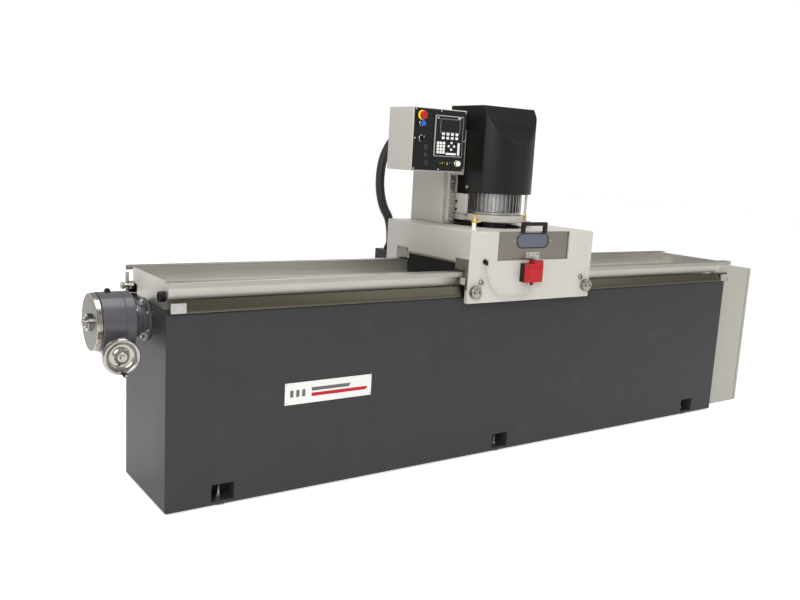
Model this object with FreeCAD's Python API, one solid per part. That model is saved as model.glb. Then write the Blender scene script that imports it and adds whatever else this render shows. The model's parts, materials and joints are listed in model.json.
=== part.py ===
import FreeCAD, Part
import math
import os

# Travelling-head surface grinder for long machine knives.
# Sizes are in millimetres from the floor under the middle of the bed: +X along the bed away
# from the tilt gear, +Y to the rear, +Z up. The finished sub-parts are then moved together so
# that the origin is on the floor under the middle of the whole machine.

V = FreeCAD.Vector
AXIS = {"x": V(1, 0, 0), "y": V(0, 1, 0), "z": V(0, 0, 1)}

# ---------------------------------------------------------------- driving dimensions
# Fits
RUN = 0.05              # radial clearance of a shaft in its bore
AIR = 0.3               # gap between pieces that pass each other
SHEET = 3.0             # stainless sheet

# Bed
BED_L, BED_D, BED_H = 3190.0, 470.0, 750.0
BED_FOOT = 8.0          # the walls end this far above the floor
BED_WALL = 12.0
BED_CORNER = 8.0
WAY_PLATE = 12.0
RIB_T = 12.0
RIB_X = (-1100.0, -550.0, -80.0, 550.0, 1100.0)
POCKET_X = (-1373.0, 0.0, 1373.0)
POCKET_W, POCKET_Z0, POCKET_H = 90.0, 24.0, 66.0
POCKET_DEEP, POCKET_TOP_DEEP = 66.0, 34.0
POCKET_SHEET = 4.0
FOOT_R, FOOT_H, FOOT_SCREW_R = 29.0, 10.0, 8.0

# Travel rails, rack and guards
RAIL_Y, RAIL_W, RAIL_H, RAIL_L = 184.0, 30.0, 26.0, 3110.0
MODULE = 4.0
PINION_TEETH = 12
RACK_Z = 708.0          # pitch line of the rack, teeth pointing down
RACK_FACE = 16.0
RACK_BACK = 14.0
GUARD_OUT, GUARD_TOP, GUARD_T = 246.0, 797.0, 2.5

# Coolant trough
TROUGH_HALF = 198.0     # inside half width above the shelf
CHANNEL_HALF = 147.0    # inside half width below the shelf
SHELF_Z = 799.0
TROUGH_FLOOR = 570.0
TROUGH_X0, TROUGH_X1 = -1577.0, 1578.0
RIM_TOP, RIM_DROP, RIM_OUT = 860.0, 20.0, 245.0
RIM_X0, RIM_X1 = -1592.0, 1617.0
DRAIN_R, DRAIN_X, DRAIN_Z = 25.0, 1380.0, 600.0

# Tilting magnetic chuck
TILT_Z = 690.0          # height of the tilt axis
CHUCK_X0, CHUCK_X1 = -1250.0, 1200.0
CHUCK_W, CHUCK_H, CHUCK_TOP = 120.0, 52.0, 778.0
CARRIER_W, CARRIER_DROP, CARRIER_END = 100.0, 40.0, 30.0
TRUNNION_R = 25.0
END_BORE_R = 33.0       # opening of the bed's end walls round the shafts

# Tilt gear on the left end
CASE_R, CASE_X0, CASE_SPLIT, CASE_X1 = 108.0, -1773.0, -1690.0, -1654.0
NECK_R, NECK_X1 = 65.0, -1621.0
COLLAR_R, FLANGE_R, FLANGE_T = 52.0, 80.0, 8.0
DIAL_R, DIAL_T, DIAL_GAP = 106.0, 20.0, 2.0
WORM_LEAD = 3.0 * math.pi
WORM_TEETH = 52
WORM_X, WORM_DROP = -1730.0, 95.0
WORM_TIP_R, WORM_ROOT_R = 18.0, 14.0
WHEEL_TIP_R, WHEEL_ROOT_R, WHEEL_FACE = 79.5, 76.2, 24.0
BARREL_R, BARREL_Y0, BARREL_Y1 = 34.0, -118.0, 92.0
HANDWHEEL_R, HANDWHEEL_Y = 66.0, -160.0
CRANK_R, CRANK_PIN_R, CRANK_GRIP_R, CRANK_GRIP_L = 55.0, 4.0, 9.0, 44.0

# Right-hand cabinet
CAB_X0, CAB_X1 = 1597.0, 1925.0
CAB_Y0, CAB_Y1, CAB_H, CAB_SHEET = -160.0, 230.0, 800.0, 3.0
DOOR_T, DOOR_GAP = 23.0, 2.0
KNUCKLE_R, KNUCKLE_PIN_R = 5.0, 2.5

# Carriage
CAR_X0, CAR_X1 = -289.0, 455.0
CAR_Y0, CAR_Y1 = -280.0, 365.0
CAR_TOP, CAR_SKIRT, CAR_T = 1036.0, 724.0, 8.0
SIDE_LOW = 891.0        # lower edge of the side plates over the trough
RIM_CLEAR = 6.0
SHOE_Z0, SHOE_Z1 = 804.0, 834.0
BLOCK_L, BLOCK_TOP = 120.0, 790.0
BLOCK_IN = 162.0
SKIRT_IN = 258.0        # inner face of the side plates below the rims
CURTAIN_LOW, CURTAIN_T = 806.0, 4.0
DOOR_X0, DOOR_X1, DOOR_Z0 = -135.0, 298.0, 908.0
PANEL_T, PANEL_LAP, PANEL_TOP = 4.0, 8.0, 1035.0
WINDOW_X, WINDOW_Z, WINDOW_L, WINDOW_H = 75.0, 994.0, 196.0, 68.0

# Head
HEAD_X = 60.0           # spindle axis, on the bed's centre plane
COL_HALF, COL_POST, COL_Y0, COL_Y1, COL_TOP = 223.0, 48.0, 108.0, 355.0, 1560.0
WAY_X, WAY_W, WAY_PROUD = 199.0, 32.0, 44.0
RING_R, RING_Z0, RING_Z1 = 146.0, 1060.0, 1092.0
MOTOR_R, FIN_DEPTH, MOTOR_Z1 = 127.0, 19.0, 1450.0
MOTOR_CORE_R = MOTOR_R - FIN_DEPTH
FIN_COUNT, FIN_T = 36, 4.0
COVER_HALF, COVER_Y0, COVER_CORNER_Y, COVER_Y1 = 155.0, -157.0, -85.0, 170.0
COVER_Z0, COVER_TOP, COVER_T = 1190.0, 1583.0, 4.0
COVER_STEP_Z, COVER_STEP_Y = 1268.0, 84.0
FACET_LOW, FACET_HIGH = 1422.0, 1550.0
SPINDLE_R = 25.0
WHEEL_R, WHEEL_LOW, SEGMENT_H, SEGMENT_W = 125.0, 830.0, 50.0, 24.0
SEGMENTS = 8
SCREW_Y, SCREW_R, SCREW_END_R = 226.0, 14.0, 10.0

# Control box
BOX_X0, BOX_X1 = -456.0, -163.0
BOX_Y0, BOX_Y1 = -39.0, 149.0
BOX_Z0, BOX_Z1 = 1278.0, 1550.0


# ---------------------------------------------------------------- helpers
def block(x0, y0, z0, x1, y1, z1):
    """Box between two corners."""
    return Part.makeBox(x1 - x0, y1 - y0, z1 - z0, V(x0, y0, z0))


def rod(axis, a, b, start, end, radius):
    """Cylinder along an axis; a and b are its other two coordinates in X, Y, Z order."""
    base = {"x": V(start, a, b), "y": V(a, start, b), "z": V(a, b, start)}[axis]
    return Part.makeCylinder(radius, end - start, base, AXIS[axis])


def prism(axis, points, start, end):
    """Polygon of the two coordinates across an axis, drawn out along it."""
    place = {
        "x": lambda a, b: V(start, a, b),
        "y": lambda a, b: V(a, start, b),
        "z": lambda a, b: V(a, b, start),
    }[axis]
    corners = [place(a, b) for a, b in points]
    face = Part.Face(Part.makePolygon(corners + corners[:1]))
    return face.extrude(AXIS[axis] * (end - start))


def ring(axis, a, b, start, end, outer, inner):
    """Tube along an axis."""
    return rod(axis, a, b, start, end, outer).cut(rod(axis, a, b, start - 1, end + 1, inner))


def soften(shape, axis, radius, keep=None):
    """Round the straight edges along an axis; keep picks edges by their midpoint."""
    edges = []
    for edge in shape.Edges:
        if not isinstance(edge.Curve, Part.Line):
            continue
        along = edge.tangentAt(edge.FirstParameter)
        middle = edge.valueAt((edge.FirstParameter + edge.LastParameter) / 2)
        if abs(along.dot(AXIS[axis])) > 0.999 and (keep is None or keep(middle)):
            edges.append(edge)
    return shape.makeFillet(radius, edges)


def stadium(axis, a, b, start, end, length, height):
    """Slot with round ends, long across its first coordinate."""
    half = (length - height) / 2
    middle = {
        "y": block(a - half, start, b - height / 2, a + half, end, b + height / 2),
    }[axis]
    ends = [rod(axis, a + side * half, b, start, end, height / 2) for side in (-1, 1)]
    return middle.fuse(ends).removeSplitter()


def hexagon(axis, a, b, start, end, across):
    """Hexagon bar along an axis."""
    radius = across / math.sqrt(3)
    points = [
        (a + radius * math.cos(math.radians(60 * k)), b + radius * math.sin(math.radians(60 * k)))
        for k in range(6)
    ]
    return prism(axis, points, start, end)


def mirrored(shape, axis, at=0.0):
    """Copy on the other side of a plane across an axis."""
    return shape.mirror(AXIS[axis] * at, AXIS[axis])


NODES = {}


def save(name, *solids):
    """Keep one sub-part, whose pieces stay separate solids."""
    NODES[name] = solids[0] if len(solids) == 1 else Part.makeCompound(list(solids))


def write_all():
    """Move the origin to the floor under the middle of the machine and write every sub-part."""
    os.makedirs("parts", exist_ok=True)
    bounds = FreeCAD.BoundBox()
    for name, shape in NODES.items():
        if name not in CORDS:
            bounds.add(shape.BoundBox)
    shift = V(-bounds.Center.x, -bounds.Center.y, -bounds.ZMin)
    print("bed centre stands at x %.3f, y %.3f" % (shift.x, shift.y))
    for name, shape in NODES.items():
        if not shape.Solids or not shape.isValid():
            print("bad shape", name)
        shape.translate(shift)
        shape.exportStep("parts/%s.step" % name)


# ---------------------------------------------------------------- bed
def long_wall():
    """Front wall: a plate above the levelling pockets, and the pieces between and below them."""
    half, y0 = BED_L / 2, -BED_D / 2
    y1, top = y0 + BED_WALL, POCKET_Z0 + POCKET_H
    upper = block(-half, y0, top, half, y1, BED_H)
    edges = [-half] + [x + side * POCKET_W / 2 for x in POCKET_X for side in (-1, 1)] + [half]
    lower = [block(a, y0, BED_FOOT, b, y1, top) for a, b in zip(edges[0::2], edges[1::2])]
    sills = [block(a, y0, BED_FOOT, b, y1, POCKET_Z0) for a, b in zip(edges[1::2], edges[2::2])]

    def outer(p):
        return p.y < y0 + 1 and abs(p.x) > half - 1

    rounded = [soften(piece, "z", BED_CORNER, outer) for piece in (upper, lower[0], lower[-1])]
    return rounded + lower[1:-1] + sills


def bed_walls():
    half, inner = BED_L / 2, BED_D / 2 - BED_WALL
    front = long_wall()
    drain = rod("y", DRAIN_X, DRAIN_Z, inner - 1, BED_D / 2 + 1, DRAIN_R - SHEET + AIR)
    rear = [mirrored(piece, "y") for piece in front]
    rear[0] = rear[0].cut(drain)
    ends = []
    for x0 in (-half, half - BED_WALL):
        end = block(x0, -inner, BED_FOOT, x0 + BED_WALL, inner, BED_H)
        ends.append(end.cut(rod("x", 0, TILT_Z, x0 - 1, x0 + BED_WALL + 1, END_BORE_R)))
    return front + rear + ends


def bed_frame():
    """Plates that carry the rails, and ribs that hold the trough."""
    inner = BED_D / 2 - BED_WALL
    channel = CHANNEL_HALF + SHEET
    end = BED_L / 2 - BED_WALL
    plates = [
        block(-end, side * inner if side < 0 else channel, BED_H - WAY_PLATE,
              end, -channel if side < 0 else inner, BED_H)
        for side in (-1, 1)
    ]
    ribs = []
    for x in RIB_X:
        ribs.append(block(x, -inner, BED_FOOT, x + RIB_T, inner, TROUGH_FLOOR - SHEET))
        for y0, y1 in ((-inner, -channel), (channel, inner)):
            ribs.append(block(x, y0, TROUGH_FLOOR - SHEET, x + RIB_T, y1, BED_H - WAY_PLATE))
    return plates + ribs


def levelling_pocket(x):
    """Folded pocket behind the front wall: floor, cheeks, sloping back and roof."""
    y0 = -BED_D / 2 + BED_WALL
    out, top = POCKET_Z0 - 10, POCKET_Z0 + POCKET_H
    deep, high = y0 + POCKET_DEEP, y0 + POCKET_TOP_DEEP
    x0, x1 = x - POCKET_W / 2, x + POCKET_W / 2
    floor = block(x0, y0, out, x1, deep, POCKET_Z0)
    floor = floor.cut(rod("z", x, y0 + FOOT_R + 2, out - 1, POCKET_Z0 + 1, FOOT_SCREW_R + RUN))
    profile = [(y0, out), (deep + POCKET_SHEET, out), (deep + POCKET_SHEET, POCKET_Z0),
               (high + POCKET_SHEET, top + POCKET_SHEET), (y0, top + POCKET_SHEET)]
    cheeks = [prism("x", profile, a, a + POCKET_SHEET) for a in (x0 - POCKET_SHEET, x1)]
    back = prism("x", [(deep, out), (deep + POCKET_SHEET, out), (deep + POCKET_SHEET, POCKET_Z0),
                       (high + POCKET_SHEET, top), (high, top), (deep, POCKET_Z0)], x0, x1)
    roof = block(x0, y0, top, x1, high + POCKET_SHEET, top + POCKET_SHEET)
    return [floor] + cheeks + [back, roof]


def levelling_foot(x):
    """Floor pad and the levelling screw that stands on it, with its lock nut."""
    y = -BED_D / 2 + BED_WALL + FOOT_R + 2
    pad = rod("z", x, y, 0, FOOT_H, FOOT_R)
    pad = pad.makeChamfer(2, [e for e in pad.Edges if abs(e.CenterOfMass.z - FOOT_H) < 0.1][:1])
    screw = rod("z", x, y, FOOT_H, POCKET_Z0 + 52, FOOT_SCREW_R)
    nut = hexagon("z", x, y, POCKET_Z0, POCKET_Z0 + 13, 24).cut(
        rod("z", x, y, 0, POCKET_Z0 + 14, FOOT_SCREW_R - 1)
    )
    return [pad, screw.fuse(nut)]


def travel_rails():
    """Two profile rails with a groove down each side."""
    half, z = RAIL_W / 2, BED_H
    outline = [(-half, z), (half, z), (half, z + 8), (half - 4, z + 11), (half - 4, z + 15),
               (half, z + 18), (half, z + RAIL_H), (-half, z + RAIL_H), (-half, z + 18),
               (-half + 4, z + 15), (-half + 4, z + 11), (-half, z + 8)]
    return [
        prism("x", [(side * RAIL_Y + y, height) for y, height in outline], -RAIL_L / 2, RAIL_L / 2)
        for side in (-1, 1)
    ]


def travel_rack():
    """Toothed rack on the outside of the rear wall."""
    pitch = math.pi * MODULE
    y0 = BED_D / 2
    teeth = int(RAIL_L * 0.93 / pitch)
    x0 = HEAD_X - math.floor((RAIL_L * 0.465 + HEAD_X) / pitch) * pitch
    root, tip = RACK_Z + 1.25 * MODULE, RACK_Z - 0.9 * MODULE
    points = [(x0 - pitch / 2, RACK_Z + RACK_BACK), (x0 - pitch / 2, root)]
    for k in range(teeth):
        x = x0 + k * pitch
        points += [(x - 0.29 * pitch, root), (x - 0.12 * pitch, tip),
                   (x + 0.12 * pitch, tip), (x + 0.29 * pitch, root)]
    last = x0 + (teeth - 0.5) * pitch
    points += [(last, root), (last, RACK_Z + RACK_BACK)]
    return prism("y", points, y0, y0 + RACK_FACE)


def travel_pinion():
    """Pinion under the rack, with its shaft into the gearmotor."""
    pitch_r = MODULE * PINION_TEETH / 2
    z = RACK_Z - pitch_r
    points = []
    for k in range(PINION_TEETH):
        middle = 90 + (k + 0.5) * 360 / PINION_TEETH
        for turn, radius in ((-10.5, pitch_r - 1.3 * MODULE), (-6.4, pitch_r - 0.2 * MODULE),
                             (-3.0, pitch_r + 0.85 * MODULE), (3.0, pitch_r + 0.85 * MODULE),
                             (6.4, pitch_r - 0.2 * MODULE), (10.5, pitch_r - 1.3 * MODULE)):
            angle = math.radians(middle + turn)
            points.append((HEAD_X + radius * math.cos(angle), z + radius * math.sin(angle)))
    gear = prism("y", points, BED_D / 2 + 1, BED_D / 2 + RACK_FACE)
    shaft = rod("y", HEAD_X, z, BED_D / 2 + 1, BED_D / 2 + 60, 9)
    return gear.fuse(shaft)


def way_guard(side):
    """Folded sheet that hides a rail."""
    outer = [(-GUARD_OUT + 16, BED_H), (-GUARD_OUT, BED_H), (-GUARD_OUT, BED_H + 15),
             (-GUARD_OUT + 12, GUARD_TOP)]
    inner = [(-GUARD_OUT + 12 + GUARD_T, GUARD_TOP - 1), (-GUARD_OUT + GUARD_T, BED_H + 14.5),
             (-GUARD_OUT + GUARD_T, BED_H + GUARD_T), (-GUARD_OUT + 16, BED_H + GUARD_T)]
    sheet = prism("x", outer + inner, RIM_X0 + 8, BED_L / 2 + 10)
    return sheet if side < 0 else mirrored(sheet, "y")


def guard_stop(side, end):
    """Steel block with two socket screws at the end of a guard."""
    x = end * (BED_L / 2 - 36)
    y = side * (GUARD_OUT + 0.2)
    y0, y1 = (y - 9, y) if side < 0 else (y, y + 9)
    body = block(x - 28, y0, BED_H + 4, x + 28, y1, BED_H + 40)
    body = soften(body, "y", 3)
    head = -1 if side < 0 else 1
    for dx, dz in ((-16, 12), (16, 12), (-16, 32), (16, 32)):
        face = y0 if side < 0 else y1
        lo, hi = sorted((face - head * 0.5, face + head * 2))
        body = body.fuse(rod("y", x + dx, BED_H + dz, lo, hi, 4.5))
        lo, hi = sorted((face + head * 0.5, face + head * 3))
        body = body.cut(hexagon("y", x + dx, BED_H + dz, lo, hi, 4.5))
    return body


# ---------------------------------------------------------------- trough
def trough_shell():
    """Bent sheets of the coolant trough: floor, stepped walls, ends and drain."""
    x0, x1 = TROUGH_X0, TROUGH_X1
    sheets = [block(x0, -CHANNEL_HALF - SHEET, TROUGH_FLOOR - SHEET,
                    x1, CHANNEL_HALF + SHEET, TROUGH_FLOOR)]
    for side in (-1, 1):
        wide, narrow = side * TROUGH_HALF, side * CHANNEL_HALF
        out = side * SHEET
        lower = block(x0, min(narrow, narrow + out), TROUGH_FLOOR,
                      x1, max(narrow, narrow + out), SHELF_Z - SHEET)
        shelf = block(x0, min(narrow, wide + out), SHELF_Z - SHEET,
                      x1, max(narrow, wide + out), SHELF_Z)
        upper = block(x0, min(wide, wide + out), SHELF_Z, x1, max(wide, wide + out), RIM_TOP - SHEET)
        if side > 0:
            lower = lower.cut(rod("y", DRAIN_X, DRAIN_Z, 0, BED_D, DRAIN_R - 2 * SHEET))
        sheets += [lower, shelf, upper]
    for x in (x0, x1):
        inside = x if x < 0 else x - SHEET
        low = block(inside, -CHANNEL_HALF, TROUGH_FLOOR, inside + SHEET, CHANNEL_HALF, SHELF_Z)
        low = low.cut(rod("x", 0, TILT_Z, inside - 1, inside + SHEET + 1, END_BORE_R + 1))
        high = block(inside, -TROUGH_HALF, SHELF_Z, inside + SHEET, TROUGH_HALF, RIM_TOP - SHEET)
        sheets += [low, high]
    inner, outer = DRAIN_R - SHEET, BED_D / 2
    sheets.append(ring("y", DRAIN_X, DRAIN_Z, CHANNEL_HALF + SHEET, outer, inner, inner - SHEET))
    sheets.append(ring("y", DRAIN_X, DRAIN_Z, outer, outer + 45, DRAIN_R, inner - SHEET))
    return sheets


def trough_rim(side):
    """Folded rim along one side."""
    outline = [(-RIM_OUT, RIM_TOP - RIM_DROP), (-RIM_OUT + SHEET, RIM_TOP - RIM_DROP),
               (-RIM_OUT + SHEET, RIM_TOP - SHEET), (-TROUGH_HALF, RIM_TOP - SHEET),
               (-TROUGH_HALF, RIM_TOP), (-RIM_OUT, RIM_TOP)]
    rim = prism("x", outline, RIM_X0, RIM_X1)
    rim = soften(rim, "x", SHEET - 0.4, lambda p: p.y < -RIM_OUT + 0.1 and p.z > RIM_TOP - 1)
    return rim if side < 0 else mirrored(rim, "y")


def end_fasteners():
    """Bright screws of the tilt gear, the trough's clamp stud and the badge rivets."""
    pieces = []
    for k in range(6):
        angle = math.radians(30 + 60 * k)
        y = (FLANGE_R - 12) * math.cos(angle)
        z = TILT_Z + (FLANGE_R - 12) * math.sin(angle)
        flange = -BED_L / 2 - FLANGE_T
        pieces.append(hexagon("x", y, z, flange - 6, flange, 13))
        y = (CASE_R - 9) * math.cos(angle)
        z = TILT_Z + (CASE_R - 9) * math.sin(angle)
        pieces.append(rod("x", y, z, CASE_X1, CASE_X1 + 5, 5))
    stud_x, stud_y = TROUGH_X0 - 26, TROUGH_HALF - 8
    stud = rod("z", stud_x, stud_y, 762, 838, 7)
    cross = rod("x", stud_y, 787, stud_x - 26, stud_x + 26, 10)
    nuts = [hexagon("x", stud_y, 787, stud_x + a, stud_x + a + 10, 26) for a in (-22, 12)]
    pieces.append(stud.fuse([cross] + nuts))
    for x, z in badge_corners():
        pieces.append(rod("y", x, z, -BED_D / 2 - BADGE_T - 1.5, -BED_D / 2 - BADGE_T, 2.5))
    return pieces


BADGE_X, BADGE_Z, BADGE_L, BADGE_H, BADGE_T = -929.5, 406.0, 395.0, 88.0, 2.0


def badge_corners():
    dx, dz = BADGE_L / 2 - 7, BADGE_H / 2 - 7
    return [(BADGE_X + a * dx, BADGE_Z + b * dz) for a in (-1, 1) for b in (-1, 1)]


def badge_plate():
    y = -BED_D / 2
    plate = block(BADGE_X - BADGE_L / 2, y - BADGE_T, BADGE_Z - BADGE_H / 2,
                  BADGE_X + BADGE_L / 2, y, BADGE_Z + BADGE_H / 2)
    return soften(plate, "y", 4)


def bed_glands():
    """Cable grommet at the trough's end and the mains gland behind the cabinet."""
    x = TROUGH_X0 - 22
    grommet = rod("x", -160, 800, x, TROUGH_X0, 19).cut(rod("x", -160, 800, x - 1, x + 14, 11))
    y = CAB_Y1
    gland = rod("y", CAB_X0 + 80, 120, y, y + 26, 14).fuse(
        hexagon("y", CAB_X0 + 80, 120, y, y + 9, 36)
    )
    gland = gland.cut(rod("y", CAB_X0 + 80, 120, y - 1, y + 30, MAINS_BORE_R))
    return [grommet, gland]


MAINS_BORE_R = 8.0


# ---------------------------------------------------------------- tilt gear
def gear_case():
    """Outer case with the worm's barrel, and inner case with its neck and flange."""
    wheel = rod("x", 0, TILT_Z, WORM_X - WHEEL_FACE / 2 - 4, CASE_SPLIT + 1, WHEEL_TIP_R + 5)
    shaft_bore = rod("x", 0, TILT_Z, CASE_X0 - 50, 0, TRUNNION_R + RUN)
    worm_z = TILT_Z - WORM_DROP
    outer = rod("x", 0, TILT_Z, CASE_X0, CASE_SPLIT, CASE_R)
    outer = outer.fuse(rod("y", WORM_X, worm_z, BARREL_Y0, BARREL_Y1, BARREL_R)).removeSplitter()
    outer = outer.cut([wheel, shaft_bore])
    outer = outer.cut([
        rod("y", WORM_X, worm_z, -38, 38, WORM_TIP_R + 4),
        rod("y", WORM_X, worm_z, BARREL_Y0 - 1, BARREL_Y1 - 10, WORM_JOURNAL_R + RUN),
    ])
    inner = rod("x", 0, TILT_Z, CASE_SPLIT, CASE_X1, CASE_R)
    inner = inner.fuse([
        rod("x", 0, TILT_Z, CASE_X1 - 1, NECK_X1, NECK_R),
        rod("x", 0, TILT_Z, NECK_X1 - 1, -BED_L / 2 - 1, COLLAR_R),
        rod("x", 0, TILT_Z, -BED_L / 2 - FLANGE_T, -BED_L / 2, FLANGE_R),
    ]).removeSplitter()
    inner = inner.cut(shaft_bore)
    plug = hexagon("z", (CASE_SPLIT + CASE_X1) / 2 - 60, 0, TILT_Z + CASE_R - 1.5,
                   TILT_Z + CASE_R + 9, 20)
    plug = plug.cut(rod("x", 0, TILT_Z, CASE_X0, CASE_X1, CASE_R))
    return [outer, inner, plug]


WORM_JOURNAL_R = 12.0


def trunnion_bearings():
    """Bush in the right end wall that carries the chuck's far shaft."""
    x = BED_L / 2
    return [ring("x", 0, TILT_Z, x - BED_WALL - 14, x, END_BORE_R - RUN, TRUNNION_R + RUN)]


def tilt_shafts():
    """Shafts at both ends of the chuck's carrier."""
    left = rod("x", 0, TILT_Z, CASE_X0 - DIAL_GAP - DIAL_T, CHUCK_X0 - CARRIER_END, TRUNNION_R)
    right = rod("x", 0, TILT_Z, CHUCK_X1 + CARRIER_END, BED_L / 2 - 2, TRUNNION_R)
    return [left, right]


def worm_wheel():
    points = []
    step = 360 / WORM_TEETH
    for k in range(WORM_TEETH):
        middle = -90 + (k + 0.25) * step
        for part, radius in ((-0.26, WHEEL_ROOT_R), (-0.15, WHEEL_TIP_R),
                             (0.15, WHEEL_TIP_R), (0.26, WHEEL_ROOT_R)):
            angle = math.radians(middle + part * step)
            points.append((radius * math.cos(angle), TILT_Z + radius * math.sin(angle)))
    half = WHEEL_FACE / 2
    wheel = prism("x", points, WORM_X - half, WORM_X + half)
    return wheel.cut(rod("x", 0, TILT_Z, WORM_X - 50, WORM_X + 50, TRUNNION_R + RUN))


def worm_shaft():
    """Worm with a helical thread, along Y under the wheel, with the handwheel's journal."""
    turns = 6
    start = -turns * WORM_LEAD / 2
    helix = Part.makeHelix(WORM_LEAD, turns * WORM_LEAD, WORM_ROOT_R)
    helix.translate(V(0, 0, start))
    depth, base, crest = WORM_TIP_R - WORM_ROOT_R, 2.0, 1.2
    corners = [V(WORM_ROOT_R - 1, 0, start - base), V(WORM_ROOT_R + depth, 0, start - crest),
               V(WORM_ROOT_R + depth, 0, start + crest), V(WORM_ROOT_R - 1, 0, start + base)]
    profile = Part.makePolygon(corners + corners[:1])
    thread = Part.Wire(helix).makePipeShell([profile], True, True)
    core = Part.makeCylinder(WORM_ROOT_R, 70, V(0, 0, -35))
    worm = core.fuse(thread)
    worm.rotate(V(0, 0, 0), V(1, 0, 0), -90)
    worm.translate(V(WORM_X, 0, TILT_Z - WORM_DROP))
    z = TILT_Z - WORM_DROP
    journal = rod("y", WORM_X, z, BARREL_Y0 - 14, BARREL_Y1 - 12, WORM_JOURNAL_R)
    nose = rod("y", WORM_X, z, HANDWHEEL_Y - 26, BARREL_Y0 - 13, 8)
    return worm.fuse([journal, nose]).removeSplitter()


def tilt_dial():
    """Graduated disc with its stepped hub on the shaft's end."""
    x1 = CASE_X0 - DIAL_GAP
    x0 = x1 - DIAL_T
    disc = rod("x", 0, TILT_Z, x0, x1, DIAL_R).cut(rod("x", 0, TILT_Z, x0 - 1, x1 + 1, TRUNNION_R + RUN))
    disc = disc.makeChamfer(2.5, [e for e in disc.Edges
                                  if abs(e.Length - 2 * math.pi * DIAL_R) < 0.1
                                  and abs(e.CenterOfMass.x - x0) < 0.1])
    hub = rod("x", 0, TILT_Z, x0 - 12, x0, 32).fuse([
        rod("x", 0, TILT_Z, x0 - 18, x0 - 11, 22),
        hexagon("x", 0, TILT_Z, x0 - 27, x0 - 17, 24),
    ])
    return [disc, hub.removeSplitter()]


def handwheel():
    """Dished handwheel with a round rim."""
    z = TILT_Z - WORM_DROP
    y = HANDWHEEL_Y
    outline = [(8 + RUN, y - 16), (18, y - 16), (20, y - 12), (34, y - 2), (48, y - 6), (54, y - 14),
               (60, y - 16), (HANDWHEEL_R, y - 11), (HANDWHEEL_R, y + 4), (60, y + 9), (52, y + 8),
               (46, y + 4), (34, y + 8), (24, y + 14), (18, y + 22), (8 + RUN, y + 22)]
    corners = [V(r, v, 0) for r, v in outline]
    disc = Part.Face(Part.makePolygon(corners + corners[:1])).revolve(V(0, 0, 0), V(0, 1, 0), 360)
    disc.translate(V(WORM_X, 0, z))
    pin = rod("y", WORM_X, z - CRANK_R, y - 16 - CRANK_GRIP_L - 3, y - 10, CRANK_PIN_R)
    return disc.fuse(pin).removeSplitter()


def crank_grip():
    """Turned grip that spins on the handwheel's pin."""
    y1 = HANDWHEEL_Y - 16.5
    y0 = y1 - CRANK_GRIP_L
    outline = [(CRANK_PIN_R + RUN, y1), (6, y1), (7, y1 - 8), (CRANK_GRIP_R, y0 + 14),
               (CRANK_GRIP_R, y0 + 6), (6.5, y0), (CRANK_PIN_R + RUN, y0)]
    corners = [V(r, v, 0) for r, v in outline]
    grip = Part.Face(Part.makePolygon(corners + corners[:1])).revolve(V(0, 0, 0), V(0, 1, 0), 360)
    grip.translate(V(WORM_X, 0, TILT_Z - WORM_DROP - CRANK_R))
    return grip


# ---------------------------------------------------------------- chuck
def chuck_carrier():
    """Beam under the magnet, with end plates that hold the shafts."""
    low, high = TILT_Z - CARRIER_DROP, CHUCK_TOP - CHUCK_H
    beam = block(CHUCK_X0, -CARRIER_W / 2, low, CHUCK_X1, CARRIER_W / 2, high)
    beam = soften(beam, "x", 8, lambda p: p.z < low + 1)
    ends = []
    for x0, x1 in ((CHUCK_X0 - CARRIER_END, CHUCK_X0), (CHUCK_X1, CHUCK_X1 + CARRIER_END)):
        plate = block(x0, -CARRIER_W / 2, low, x1, CARRIER_W / 2, CHUCK_TOP - 8)
        ends.append(soften(plate, "x", 12))
    return [beam] + ends


def magnetic_chuck():
    """Magnet blocks in a row, each with its pole plate on top."""
    count = 5
    length = (CHUCK_X1 - CHUCK_X0) / count
    blocks = []
    for k in range(count):
        x0 = CHUCK_X0 + k * length
        body = block(x0 + 0.5, -CHUCK_W / 2, CHUCK_TOP - CHUCK_H, x0 + length - 0.5, CHUCK_W / 2,
                     CHUCK_TOP)
        groove = [block(x0, side * CHUCK_W / 2 - 3, CHUCK_TOP - 20, x0 + length,
                        side * CHUCK_W / 2 + 3, CHUCK_TOP - 17) for side in (-1, 1)]
        blocks.append(body.cut(groove))
    return blocks


# ---------------------------------------------------------------- cabinet
def cabinet_body():
    """Five folded panels; the open end carries the door."""
    t = CAB_SHEET
    front = block(CAB_X0, CAB_Y0, 0, CAB_X1, CAB_Y0 + t, CAB_H)
    rear = block(CAB_X0, CAB_Y1 - t, 0, CAB_X1, CAB_Y1, CAB_H)
    inside = block(CAB_X0, CAB_Y0 + t, 0, CAB_X0 + t, CAB_Y1 - t, CAB_H)
    top = block(CAB_X0 + t, CAB_Y0 + t, CAB_H - t, CAB_X1, CAB_Y1 - t, CAB_H)
    base = block(CAB_X0 + t, CAB_Y0 + t, 0, CAB_X1, CAB_Y1 - t, t)
    rear = rear.cut(rod("y", CAB_X0 + 80, 120, CAB_Y1 - 10, CAB_Y1 + 1, MAINS_BORE_R))
    hinges = []
    for z in HINGE_Z:
        leaf = block(CAB_X1 - 26, CAB_Y1, z - 40, HINGE_X - 1, CAB_Y1 + 2, z - 14)
        barrel = rod("z", HINGE_X, HINGE_Y, z - 40, z - 14, KNUCKLE_R)
        pin = rod("z", HINGE_X, HINGE_Y, z - 16, z + 14, KNUCKLE_PIN_R)
        hinges.append(barrel.fuse([leaf, pin]).removeSplitter())
    return [front, rear, inside, top, base] + hinges


HINGE_Z = (160.0, 640.0)
HINGE_X = CAB_X1 + DOOR_GAP + 3
HINGE_Y = CAB_Y1 + 6


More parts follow.
